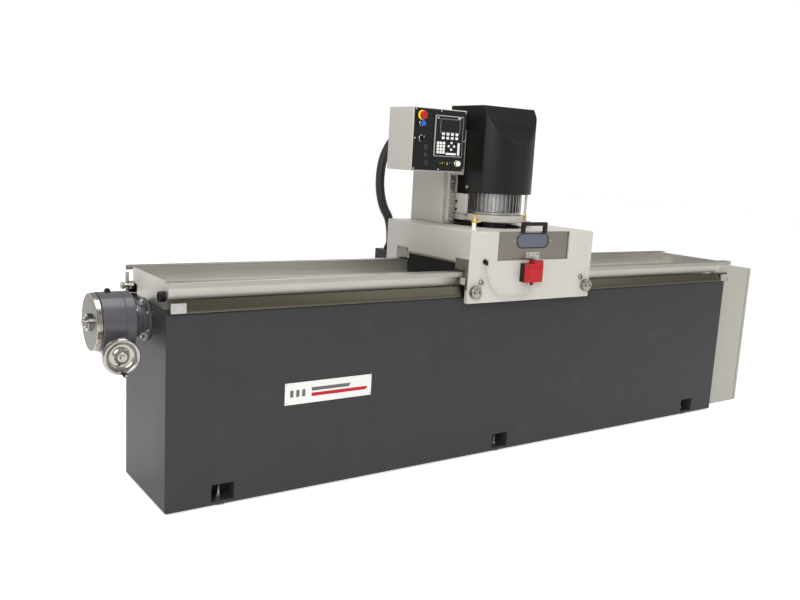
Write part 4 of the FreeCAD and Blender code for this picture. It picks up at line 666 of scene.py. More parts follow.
class GrinderColours(bpy.types.PropertyGroup):
    """Colours of the machine's paint and plastics."""

    bed: tone("Bed", "Paint of the bed", (0.036, 0.035, 0.037))
    gear: tone("Tilt gear", "Paint of the tilt gear's case", (0.075, 0.075, 0.084))
    body: tone("Body", "Paint of the carriage, column and control box", (0.47, 0.45, 0.415))
    cabinet: tone("Cabinet", "Paint of the end cabinet", (0.36, 0.35, 0.31))
    cover: tone("Cover", "Plastic of the motor's cover", (0.0065, 0.0058, 0.005))
    stainless: tone("Trough", "Stainless sheet of the trough", (0.52, 0.50, 0.465))
    switch: tone("Switch", "Plastic of the guard switch", (0.34, 0.007, 0.010))


class GrinderSizes(bpy.types.PropertyGroup):
    """Sizes and counts of the finer detail."""

    corner: bpy.props.FloatProperty(
        name="Corner", description="Rounding of the carriage's outer corners", default=0.006,
        min=0.001, max=0.02, unit="LENGTH")
    fins: bpy.props.IntProperty(
        name="Fins", description="Cooling fins of the spindle motor", default=36, min=12, max=72)
    marks: bpy.props.IntProperty(
        name="Dial marks", description="Graduations round the tilt dial", default=72, min=12,
        max=180)
    slats: bpy.props.IntProperty(
        name="Cover slats", description="Raised slats on the cover's slope", default=9, min=3,
        max=20)
    lens: bpy.props.FloatProperty(
        name="Lens", description="Focal length of the camera", default=38.27, min=10, max=200,
        unit="CAMERA")


class Piece:
    """What the operators share."""

    bl_options = {"REGISTER", "UNDO"}

    def execute(self, context):
        if context.mode != "OBJECT":
            raise RuntimeError("leave edit mode before making " + self.bl_label)
        self.make(context.scene.grinder_sizes)
        return {"FINISHED"}


# -------- stage and cords
# Name, place and aim in millimetres, diameter in metres and power in watts of each light.
LAMPS = (
    ("key", (-3900, -4300, 3700), (-700, 0, 600), 3.6, 210),
    ("side", (3400, -4200, 3200), (600, 0, 800), 3.6, 30),
    ("back", (2600, 4400, 4400), (300, 0, 700), 4.0, 60),
    ("top", (300, -400, 5600), (100, 0, 0), 4.0, 190),
)
BACKDROP_STRENGTH, LIGHT_STRENGTH = 1.05, 0.42
CAMERA_PLACE = (-2593.8, -3073.3, 1337.9)
CAMERA_RIGHT = Vector((0.8238, -0.5643, 0.0550))
CAMERA_DOWN = Vector((-0.0498, -0.1686, -0.9845))
CAMERA_BACK = Vector((-0.5648, -0.8082, 0.1670))
FILM_WIDTH = 36


class GRINDER_OT_stage(Piece, bpy.types.Operator):
    """Pale floor, soft light and the camera"""

    bl_idname = "grinder.stage"
    bl_label = "Stage"

    def make(self, sizes):
        bpy.ops.mesh.primitive_plane_add(size=60, location=(0, 0, 0))
        floor = painted(bpy.context.object, "floor")
        floor.name = "floor"
        for lamp in LAMPS:
            self.lamp(*lamp)
        self.world()
        bpy.context.scene.view_settings.view_transform = "Standard"
        self.camera(sizes)

    def world(self):
        """White backdrop that lights the machine more softly than it shows."""
        world = bpy.data.worlds.new("studio")
        bpy.context.scene.world = world
        world.use_nodes = True
        tree = world.node_tree
        backdrop = tree.nodes["Background"]
        backdrop.inputs["Color"].default_value = (1, 1, 1, 1)
        backdrop.inputs["Strength"].default_value = BACKDROP_STRENGTH
        light = tree.nodes.new("ShaderNodeBackground")
        light.inputs["Color"].default_value = (1, 0.985, 0.96, 1)
        light.inputs["Strength"].default_value = LIGHT_STRENGTH
        seen = tree.nodes.new("ShaderNodeLightPath")
        either = tree.nodes.new("ShaderNodeMixShader")
        tree.links.new(seen.outputs["Is Camera Ray"], either.inputs[0])
        tree.links.new(light.outputs[0], either.inputs[1])
        tree.links.new(backdrop.outputs[0], either.inputs[2])
        tree.links.new(either.outputs[0], tree.nodes["World Output"].inputs["Surface"])

    def lamp(self, name, place, target, size, power):
        """Round soft light aimed at a point."""
        place, target = at(*place), at(*target)
        bpy.ops.object.light_add(type="AREA", location=place)
        lamp = bpy.context.object
        lamp.name = name
        lamp.data.shape = "DISK"
        lamp.data.size = size
        lamp.data.energy = power
        lamp.rotation_euler = (target - place).to_track_quat("-Z", "Y").to_euler()

    def camera(self, sizes):
        bpy.ops.object.camera_add()
        camera = bpy.context.object
        turn = Matrix((CAMERA_RIGHT, -CAMERA_DOWN, CAMERA_BACK)).transposed().to_4x4()
        camera.matrix_world = Matrix.Translation(at(*CAMERA_PLACE)) @ turn
        camera.data.lens = sizes.lens
        camera.data.sensor_width = FILM_WIDTH
        bpy.context.scene.camera = camera


CABLE = (
    (60, -300, 798), (60, -300, 776), (44, -299, 757), (4, -297, 742), (-52, -294, 737),
    (-106, -292, 747), (-147, -292, 770), (-179, -292, 808), (-196, -293, 850),
    (-206, -294, 872), (-206, -294, 893),
)
HOSE = (
    (-305, 173, 1440), (-305, 300, 1440), (-310, 402, 1340), (-309, 430, 1215),
    (-286, 431, 1095), (-228, 424, 1010), (-228, 424, 905),
)


class GRINDER_OT_cords(Piece, bpy.types.Operator):
    """Switch cable and the conduit hose behind the control box"""

    bl_idname = "grinder.cords"
    bl_label = "Cords"

    def make(self, sizes):
        self.cord("switch_cable", "interlock_cable", CABLE, 3.0, 0.385, "cable_sheath")
        self.cord("box_conduit", "conduit_hose", HOSE, 22.0, 0.714, "hose")

    def cord(self, name, node, route, radius, length, look):
        curve = bpy.data.curves.new(name, "CURVE")
        curve.dimensions = "3D"
        spline = curve.splines.new("NURBS")
        spline.points.add(len(route) - 1)
        for point, place in zip(spline.points, route):
            point.co = (*at(*place), 1)
        spline.order_u = 3
        spline.use_endpoint_u = True
        spline.resolution_u = 12
        curve.bevel_depth = radius * MM
        curve.bevel_resolution = 6
        curve.use_fill_caps = True
        curve.materials.append(finish(look))
        obj = bpy.data.objects.new(name, curve)
        bpy.context.scene.collection.objects.link(obj)
        declared(obj, node, [node])
        at(*route[0])


# -------- bed
class GRINDER_OT_bed(Piece, bpy.types.Operator):
    """Bed walls with their levelling pockets, feet, ribs and badge"""

    bl_idname = "grinder.bed"
    bl_label = "Bed"

    def make(self, sizes):
        shell = block(-1595, -235, 8, 1595, 235, 750)
        eased(shell, 8, 4, runs_z)
        cut(shell, block(-1583, -223, 0, 1583, 223, 800))
        for x in FOOT_PLACES:
            cut(shell, block(x - 45, -250, 24, x + 45, 250, 90))
        cut(shell, rod("x", *TILT_AXIS, -1700, -1500, 33), rod("x", *TILT_AXIS, 1500, 1700, 33),
            rod("y", 1380, 600, 200, 260, 22.3))
        rounded(shell, 1.2, 2, 50)
        settled(painted(shell, "bed_paint"), "bed_shell", "bed_walls")
        coloured("bed_paint", "bed_frame", "levelling_pockets")
        self.feet()
        self.badge()

    def feet(self):
        pieces = []
        for side in (-1, 1):
            y = side * 192
            pad = [(0, 0), (28, 0), (29, 1), (29, 7), (26, 10), (12, 11), (0, 11)]
            pieces.append(turned("z", 0, y, pad, 40))
            profile = [(0, 10), (8, 10)]
            for k in range(22):
                profile += [(7.1, 11.5 + 2.9 * k), (8, 13 + 2.9 * k)]
            profile += [(6.5, 76), (0, 76)]
            pieces.append(turned("z", 0, y, profile, 20))
            pieces.append(rounded(rod("z", 0, y, 24, 37, 13.8, 6), 0.8))
        foot = joined(*pieces)
        row = [copied(foot, (x, 0, 0)) for x in FOOT_PLACES if x]
        settled(painted(joined(foot, *row), "adjuster_steel"), "screw_feet", "levelling_feet")

    def badge(self):
        plate = block(-1127, -237, 362, -732, -235, 450)
        eased(plate, 4, 3, runs_y)
        rounded(plate, 0.4, 1, 60)
        painted(plate, "badge")
        marks = []
        for k in range(3):
            mark = block(-1104 + 26 * k, -237.5, 392, -1090 + 26 * k, -236.9, 420)
            marks.append(rounded(mark, 0.2))
        wave = prism(
            "y", [(-1010, 388), (-760, 388), (-752, 396), (-752, 402), (-1010, 402)], -237.5,
            -236.9)
        stripe = prism("y", [(-1010, 410), (-840, 410), (-832, 424), (-1010, 424)], -237.5, -236.9)
        for piece in (*marks, stripe):
            painted(piece, "grey_plastic")
        painted(wave, "red_plastic")
        settled(joined(plate, *marks, wave, stripe), "plain_badge", "badge_plate")


class GRINDER_OT_guards(Piece, bpy.types.Operator):
    """Rails, rack, folded guards over them and the stops at their ends"""

    bl_idname = "grinder.guards"
    bl_label = "Guards"

    def make(self, sizes):
        refined("way_guards", "guard_sheet", 0.6)
        refined("guard_stops", "aluminium", 0.8)
        coloured("ground_steel", "travel_rails")
        coloured("dark_steel", "travel_rack", "travel_pinion")


class GRINDER_OT_trough(Piece, bpy.types.Operator):
    """Stainless trough with its folded rims, grommet and clamp stud"""

    bl_idname = "grinder.trough"
    bl_label = "Trough"

    def make(self, sizes):
        coloured("trough_sheet", "trough_shell")
        # The rims' darker finish is painted shade on the same stainless.
        refined("trough_rims", "rim_sheet", 0.7)
        refined("bed_glands", "black_plastic", 1.2)
        refined("end_fasteners", "ground_steel", 0.7)
        coloured("brass", "trunnion_bearings")


# -------- tilt gear
class GRINDER_OT_tilt_gear(Piece, bpy.types.Operator):
    """Round gear case, graduated dial and the shafts of the tilting chuck"""

    bl_idname = "grinder.tilt_gear"
    bl_label = "Tilt gear"

    def make(self, sizes):
        self.case()
        self.dial(sizes)
        coloured("ground_steel", "tilt_shafts")

    def case(self):
        profile = [
            (86, -1772), (105, -1773), (108, -1770), (108, -1692), (106.6, -1690.6),
            (106.6, -1689.4), (108, -1688), (108, -1657), (105, -1654), (66.5, -1654), (65, -1652),
            (65, -1624), (62, -1621), (52, -1621), (52, -1604), (55, -1603), (77, -1603),
            (80, -1601), (80, -1595), (25.2, -1595), (25.2, -1690), (86, -1690)]
        body = hoop("x", *TILT_AXIS, profile, 96)
        barrel = hoop(
            "y", *WORM_AXIS, [(12.2, -118), (31, -118), (34, -115), (34, -99), (32.6, -97.6),
            (34, -96), (34, 89), (31, 92), (0, 92), (0, 80), (12.2, 80)], 64)
        lid = hoop(
            "x", *TILT_AXIS, [(25.2, -1773), (86.5, -1773), (86.5, -1768), (25.2, -1768)], 96)
        plug = rounded(rod("z", -1732, 0, 796, 807, 11.5, 6), 1)
        cap = turned("z", -1732, 0, [(0, 805), (8, 805), (8, 808), (6, 811), (0, 811)], 32)
        painted(plug, "black_plastic")
        painted(cap, "black_plastic")
        for piece in (body, barrel, lid):
            painted(piece, "gear_paint")
        screws = []
        for x, z in circle(4, 26):
            screw = rod("y", WORM_AXIS[0] + x, WORM_AXIS[1] + z, -119.5, -116, 3.2, 20)
            screws.append(painted(rounded(screw, 0.4), "ground_steel"))
        settled(
            joined(body, barrel, lid, plug, cap, *screws), "gear_housing", "gear_case", smooth=30)

    def dial(self, sizes):
        face = hoop(
            "x", *TILT_AXIS, [(25.1, -1795), (101, -1795), (101.5, -1794.5), (101.5, -1776),
            (25.1, -1776)], 96)
        band = hoop(
            "x", *TILT_AXIS, [(101, -1794.9), (104.5, -1794.9), (106, -1793.4), (106, -1776.4),
            (105, -1775), (101, -1775)], 144)
        hub = turned(
            "x", *TILT_AXIS, [(0, -1822), (11, -1822), (13, -1820), (13, -1813), (21, -1813),
            (22, -1812), (22, -1808), (20.6, -1807.4), (20.6, -1806.4), (22, -1806), (30.5, -1806),
            (32, -1804.5), (32, -1801), (30.8, -1800.4), (30.8, -1799.4), (32, -1799), (32, -1795),
            (0, -1795)], 64)
        painted(face, "dial_face")
        painted(band, "dial_band")
        painted(hub, "wheel_chrome")
        centre = at(*TILT_CENTRE)
        marks = []
        for k in range(sizes.marks):
            reach = 5 if k % 6 == 0 else 3
            mark = block(-1793.4, -0.6, 795.6, -1793.4 + reach, 0.6, 796.1)
            marks.append(swung(mark, math.tau * k / sizes.marks, "x", centre))
        for k in range(12):
            marks.append(self.number(str(min(30 * k, 360 - 30 * k)), math.tau * k / 12, centre))
        tally = painted(joined(*marks), "panel_black")
        settled(joined(face, band, hub, tally), "dial", "tilt_dial", smooth=30)

    def number(self, text, spin, centre):
        """Figure on the dial's band, read from outside."""
        bpy.ops.object.text_add()
        figure = bpy.context.object
        figure.data.body = text
        figure.data.size = 0.012
        figure.data.align_x = "CENTER"
        figure.data.extrude = 0.00015
        bpy.ops.object.convert(target="MESH")
        figure = bpy.context.object
        turn = Matrix.Rotation(-math.pi / 2, 4, "Z")
        figure.matrix_world = Matrix.Translation(at(-1786.5, 0, 796)) @ turn
        applied()
        return swung(figure, spin, "x", centre)


class GRINDER_OT_handwheel(Piece, bpy.types.Operator):
    """Worm, handwheel and its turning grip"""

    bl_idname = "grinder.handwheel"
    bl_label = "Handwheel"

    def make(self, sizes):
        coloured("ground_steel", "worm_shaft")
        y = -160
        rim = hoop(
            "y", *WORM_AXIS, [(8.1, y - 15), (10, y - 18), (16, y - 18), (19, y - 15), (21, y - 9),
            (26, y - 3), (34, y + 1), (42, y), (48, y - 5), (52, y - 12), (55, y - 15.2),
            (58, y - 16), (62, y - 15), (65, y - 11.5), (66, y - 7), (66, y - 2.5),
            (64.8, y - 1.5), (64.8, y - 0.5), (66, y + 0.5), (65, y + 5), (62, y + 8.5),
            (58, y + 9.5), (52, y + 8), (46, y + 4), (34, y + 8), (24, y + 14), (18, y + 22),
            (8.1, y + 22)], 96)
        nut = turned(
            "y", *WORM_AXIS, [(0, y - 27), (6.5, y - 27), (9, y - 24), (9.5, y - 19),
            (7.9, y - 18), (0, y - 18)], 40)
        pin = rod("y", *GRIP_AXIS, -223, -168, 4, 24)
        for piece in (rim, nut, pin):
            painted(piece, "wheel_chrome")
        settled(joined(rim, nut, pin), "handwheel_finished", "handwheel", smooth=35)
        grip = hoop(
            "y", *GRIP_AXIS, [(4.1, -176.6), (6, -176.6), (6.6, -178), (6.8, -186), (8, -196),
            (9, -206), (9, -212), (8.2, -216.5), (6.4, -219.5), (4.1, -220.4)], 40)
        settled(painted(grip, "black_plastic"), "grip", "crank_grip")


class GRINDER_OT_chuck(Piece, bpy.types.Operator):
    """Magnetic chuck on its tilting beam"""

    bl_idname = "grinder.chuck"
    bl_label = "Chuck"

    def make(self, sizes):
        refined("magnetic_chuck", "pole_plate", 0.6, 1)
        coloured("dark_steel", "chuck_carrier")


# -------- carriage
class GRINDER_OT_carriage(Piece, bpy.types.Operator):
    """Carriage shell with its wipers, curtains, shoes and adjusters"""

    bl_idname = "grinder.carriage"
    bl_label = "Carriage"

    def make(self, sizes):
        self.shell(sizes)
        self.guides()
        refined("wiper_brackets", "door_sheet", 0.5, 1)
        coloured("rubber", "splash_curtains")
        coloured("aluminium", "carriage_shoes")
        refined("travel_gearmotor", "gear_paint", 1.5)
        self.adjusters()
        refined("carriage_glands", "black_plastic", 0.8)

    def shell(self, sizes):
        shell = block(-289, -280, 724, 455, 365, 1036)
        eased(shell, sizes.corner / MM, 5, lambda p, d: p.z > 1.0 or runs_z(p, d))
        cut(shell, block(-281, -272, 700, 447, 357, 1028))
        over = [(-258, 700), (-258, 804), (-220, 804), (-220, 834), (-258, 834), (-258, 866),
                (-181, 866), (-181, 891), (181, 891), (181, 866), (258, 866), (258, 834),
                (220, 834), (220, 804), (258, 804), (258, 700)]
        for x0, x1 in ((-320, -270), (430, 480)):
            cut(shell, prism("x", over, x0, x1))
        cut(
            shell, rod("z", *SPINDLE_AXIS, 1000, 1100, 152, 96),
            block(-109, 0, 1000, 229, 198, 1100), block(160, -82, 1000, 244, -28, 1100),
            block(-135, -300, 908, 298, -265, 1100), block(-145, -273, 1020, 308, -266, 1100))
        rounded(shell, 1.0, 2, 50)
        settled(painted(shell, "body_paint"), "carriage_shell", "carriage_front",
                ["carriage_front", "carriage_top", "carriage_skirts"])

    def guides(self):
        """Stainless channels in which the door slides."""
        pieces = []
        for x0, x1, reach in ((-159, -145, 8), (308, 322, -8)):
            a, b = (x1, x1 + reach) if reach > 0 else (x0 + reach, x0)
            pieces.append(block(x0, -271.9, 893.5, x1, -264, 1026))
            pieces.append(block(a, -267, 899.5, b, -264, 1026))
        pieces.append(block(-145, -271.9, 893.5, 308, -264, 899.5))
        for piece in pieces:
            rounded(piece, 0.6, 1)
        settled(
            painted(joined(*pieces), "stainless"), "door_channels", "carriage_front", replaces=())

    def adjusters(self):
        pieces = []
        for x, z, side in ((-254, 775, 1), (423, 780, -1)):
            head = turned(
                "y", x, z, [(0, -302), (21, -302), (22.5, -301), (25, -301), (26.5, -302),
                (28, -301), (29, -299.5), (29, -282), (28, -280), (0, -280)], 72)
            cut(
                head, rod("y", x - 14, z, -310, -290, 4.5, 32),
                rod("y", x + 14, z, -310, -290, 4.5, 32))
            px, pz = x + side * 34, z + 41
            plug = turned(
                "y", px, pz, [(0, -288), (11.5, -288), (13, -286.5), (13, -280), (0, -280)], 48)
            cut(plug, rod("y", px, pz, -290, -283, 6.3, 6))
            pieces += [head, plug]
        settled(
            painted(joined(*pieces), "adjuster_steel"), "adjusters", "guide_adjusters", smooth=35)


class GRINDER_OT_column(Piece, bpy.types.Operator):
    """Column with its ways, and the screw that feeds the head"""

    bl_idname = "grinder.column"
    bl_label = "Column"

    def make(self, sizes):
        body = block(-163, 108, 1036, 283, 355, 1560)
        eased(body, 5, 4, runs_z)
        cut(body, block(-115, 90, 1020, 235, 343, 1548), block(-115, 90, 1500, 235, 191, 1600))
        foot = block(30, 204, 1036, 90, 343, 1066)
        rounded(body, 1.2, 2, 50)
        rounded(foot, 2)
        settled(painted(joined(body, foot), "body_paint"), "column_body", "column")
        ways = []
        for x in (-139, 259):
            h = 16
            outline = [(x - h, 108), (x - h, 104), (x - h + 5, 102), (x - h + 5, 90), (x - h, 88),
                       (x - h, 64), (x + h, 64), (x + h, 88), (x + h - 5, 90), (x + h - 5, 102),
                       (x + h, 104), (x + h, 108)]
            way = rounded(prism("z", outline, 1036, 1545), 0.8)
            holes = []
            for k in range(9):
                holes.append(rod("y", x, 1066 + 56 * k, 55, 70, 5, 24))
            cut(way, joined(*holes))
            ways.append(way)
        settled(painted(joined(*ways), "ground_steel"), "column_ways", "column", replaces=())
        self.screw()

    def screw(self):
        """Fine thread drawn as rings along the screw."""
        profile = [(0, 1038), (10, 1038), (10, 1068), (14, 1068)]
        for k in range(95):
            z = 1069 + 5 * k
            profile += [(14, z), (14, z + 2.4), (12.6, z + 3.2), (12.6, z + 4.2)]
        profile += [(14, 1545), (10, 1546), (10, 1562), (0, 1562)]
        settled(painted(turned("z", *FEED_AXIS, profile, 28), "ground_steel"), "feed_screw_thread",
                "feed_screw", ["feed_screw"])


# -------- control box
class GRINDER_OT_control_box(Piece, bpy.types.Operator):
    """Control box with its panel, terminal and push buttons"""

    bl_idname = "grinder.control_box"
    bl_label = "Control box"

    def make(self, sizes):
        shell = block(-456, -39, 1278, -163, 149, 1550)
        rounded(shell, 5, 4)
        seam = block(-458, 138, 1276, -161, 139.2, 1552)
        cut(shell, seam)
        arm = rounded(block(-396, 149, 1308, -163, 159, 1520), 1.5)
        foot = rounded(block(-173, 158, 1308, -163, 239, 1520), 1.5)
        settled(painted(joined(shell, arm, foot), "body_paint"), "box_shell", "control_box")
        self.panel()
        self.terminal()
        self.buttons()

    def panel(self):
        plate = block(-452, -42, 1282, -167, -39, 1546)
        eased(plate, 6, 4, runs_y)
        rounded(plate, 0.6, 2, 60)
        painted(plate, "panel_black")
        pieces = [plate]
        for x in (-445, -310, -174):
            for z in (1289, 1418, 1541):
                if (x, z) != (-310, 1418):
                    screw = turned(
                        "y", x, z, [(0, -44), (2.6, -44), (4, -43), (4, -42), (0, -42)], 20)
                    cut(screw, block(x - 3.5, -46, z - 0.5, x + 3.5, -43.4, z + 0.5))
                    pieces.append(painted(screw, "ground_steel"))
        for x, z, radius, look in (
                (-414, 1516, 20.5, "yellow_plastic"), (-414, 1481, 13.5, "dial_band"),
                (-411, 1417, 15, "dial_band"), (-210, 1317, 15, "dial_band")):
            ring = hoop(
                "y", x, z, [(8.2, -46), (radius - 1.5, -46), (radius, -44.5), (radius, -42),
                (8.2, -42)], 48)
            pieces.append(painted(ring, look))
        for x, z, size in ((-386, 1383, 9), (-385, 1349, 7), (-379, 1315, 8)):
            mark = hoop(
                "y", x, z, [(size - 1.6, -42.5), (size, -42.5), (size, -41.8),
                (size - 1.6, -41.8)], 24)
            bar = block(x - 0.8, -42.5, z - size - 4, x + 0.8, -41.8, z - size + 2)
            pieces.append(painted(joined(mark, bar), "grey_plastic"))
        for k in range(6):
            tick = block(
                -304 + 13 * k, -42.6, 1310 + 4 * (k % 3), -300 + 13 * k, -41.8, 1322 - 3 * (k % 2))
            pieces.append(painted(tick, "yellow_plastic" if k % 2 else "grey_plastic"))
        settled(joined(*pieces), "panel_plate", "control_panel")

    def terminal(self):
        body = block(-345, -50, 1344, -188, -42, 1522)
        eased(body, 4, 3, runs_y)
        cut(body, block(-341, -52, 1348, -192, -49.2, 1518))
        rounded(body, 0.6, 2, 50)
        painted(body, "pale_plastic")
        sheet = painted(block(-341, -49.6, 1348, -192, -49, 1518), "panel_black")
        frame_ring = block(-318, -50, 1447, -207, -49.2, 1509)
        cut(frame_ring, block(-314, -52, 1451, -211, -48, 1505))
        glass = painted(block(-314, -49.4, 1451, -211, -49.1, 1505), "screen")
        keys = []
        for row in range(2):
            for column in range(4):
                keys.append((-306 + 25 * column, 1420 + 17 * row, 15, 11))
        for row in range(4):
            for column in range(3):
                keys.append((-331 + 16 * column, 1357 + 13.5 * row, 13, 11))
        keys += [
            (-256, 1401, 11, 9), (-256, 1372, 11, 9), (-271, 1386.5, 11, 9), (-241, 1386.5, 11, 9),
            (-279, 1353, 56, 9), (-216, 1353, 12, 54)]
        caps = []
        for x, z, wide, high in keys:
            caps.append(rounded(block(x, -50.2, z, x + wide, -49.2, z + high), 0.5, 1))
        marks = [
            block(-334, -49.9, 1507, -327, -49.2, 1513),
            block(-222, -49.9, 1511, -206, -49.2, 1515)]
        lamps = painted(joined(*caps, *marks), "key_plastic")
        settled(joined(body, sheet, painted(frame_ring, "grey_plastic"), glass, lamps), "terminal",
                "display_unit", ["display_unit"])

    def buttons(self):
        head = turned(
            "y", -414, 1516, [(0, -68), (6, -67.8), (12, -66.6), (16, -64), (18, -60),
            (17.5, -55.5), (14, -52), (8, -52), (8, -37), (0, -37)], 56)
        settled(painted(head, "red_plastic"), "stop_head", "estop_head")
        for name, x, z, radius, depth, look in (
                ("blue_button", -414, 1481, 12, 8, "blue_plastic"), ("cream_button", -210, 1317,
                12, 6, "cream_plastic")):
            front = -52 - depth
            cap = turned(
                "y", x, z, [(0, front), (radius - 2.4, front), (radius - 0.6, front + 0.8),
                (radius, front + 2.6), (radius, -52), (8, -52), (8, -37), (0, -37)], 48)
            settled(painted(cap, look), name + "_cap", name)
        knob = turned(
            "y", -411, 1417, [(0, -50.6), (12.5, -50.6), (14, -49.4), (14, -46.6), (8, -46.6),
            (8, -37), (0, -37)], 48)
        bar = block(-415.5, -61.5, 1403, -406.5, -49.5, 1431)
        rounded(bar, 2.2, 3)
        line = block(-411.6, -61.9, 1420, -410.4, -61.2, 1429)
        painted(knob, "black_plastic")
        painted(bar, "black_plastic")
        painted(line, "key_plastic")
        settled(joined(knob, bar, line), "selector_bar", "selector_knob")


# -------- guard door
class GRINDER_OT_door(Piece, bpy.types.Operator):
    """Lift-up door, its window, handle and key, and the guard switch"""

    bl_idname = "grinder.door"
    bl_label = "Guard door"

    def make(self, sizes):
        sheet = block(-143, -271.7, 900, 306, -268.7, 1035)
        cut(sheet, self.oval(-22, 172, 961, 1027, -290, -260))
        rounded(sheet, 0.4, 1, 50)
        settled(painted(sheet, "door_sheet"), "door_sheet_finished", "door_panel")
        edge = self.oval(-23.5, 173.5, 959.5, 1028.5, -273.2, -268.8)
        cut(edge, self.oval(-19, 169, 964, 1024, -290, -260))
        rounded(edge, 0.8, 2, 50)
        painted(edge, "rubber")
        pane = painted(self.oval(-21.5, 171.5, 961.5, 1026.5, -271.2, -268.9), "window")
        screws = [
            painted(turned("y", x, 994, [(0, -273.4), (3, -273.2), (4, -272), (4, -271.5),
            (0, -271.5)], 24), "ground_steel") for x in (-36, 186)]
        settled(joined(pane, edge, *screws), "window_finished", "door_window")
        self.handle()
        refined("interlock_key", "ground_steel", 0.5)
        self.switch()

    def oval(self, x0, x1, z0, z1, y0, y1):
        """Plate with half-round ends."""
        radius, middle = (z1 - z0) / 2, (z0 + z1) / 2
        outline = []
        for centre, start in ((x1 - radius, -90), (x0 + radius, 90)):
            for k in range(17):
                angle = math.radians(start + 180 * k / 16)
                outline.append(
                    (centre + radius * math.cos(angle), middle + radius * math.sin(angle)))
        return prism("y", outline, y0, y1)

    def handle(self):
        bow = block(-5, -285.7, 1030, 147, -271.7, 1079)
        eased(bow, 16, 6, lambda p, d: abs(d.y) > 0.9 and p.z > 1.07)
        gap = block(15, -300, 1020, 127, -250, 1062)
        eased(gap, 7, 4, lambda p, d: abs(d.y) > 0.9 and p.z > 1.05)
        cut(bow, gap)
        rounded(bow, 2.6, 3, 50)
        settled(painted(bow, "black_plastic"), "bail_handle", "door_handle")

    def switch(self):
        base = rounded(block(2, -310, 812, 106, -280, 896), 2.5, 3)
        painted(base, "black_plastic")
        cover = block(2, -320, 812, 106, -310, 896)
        cut(cover, block(14, -322, 880, 92, -318.6, 884), block(14, -322, 824, 18, -318.6, 884))
        head = block(51, -320, 896, 105, -282, 910)
        cut(head, block(67, -308, 880, 89, -303, 920))
        pocket = block(66, -322, 868, 84, -317.5, 876)
        cut(cover, pocket)
        shapes = [painted(rounded(piece, 1.6, 2, 50), "red_plastic") for piece in (cover, head)]
        for x, z in ((14, 824), (94, 842), (14, 884), (94, 884), (62, 903), (96, 903)):
            screw = turned(
                "y", x, z, [(0, -321.2), (3, -321.2), (4, -320.4), (4, -319.5), (0, -319.5)], 20)
            cut(screw, block(x - 3, -323, z - 0.6, x + 3, -320.6, z + 0.6),
                block(x - 0.6, -323, z - 3, x + 0.6, -320.6, z + 3))
            shapes.append(painted(screw, "dark_steel"))
        settled(joined(base, *shapes), "guard_switch", "interlock_switch")


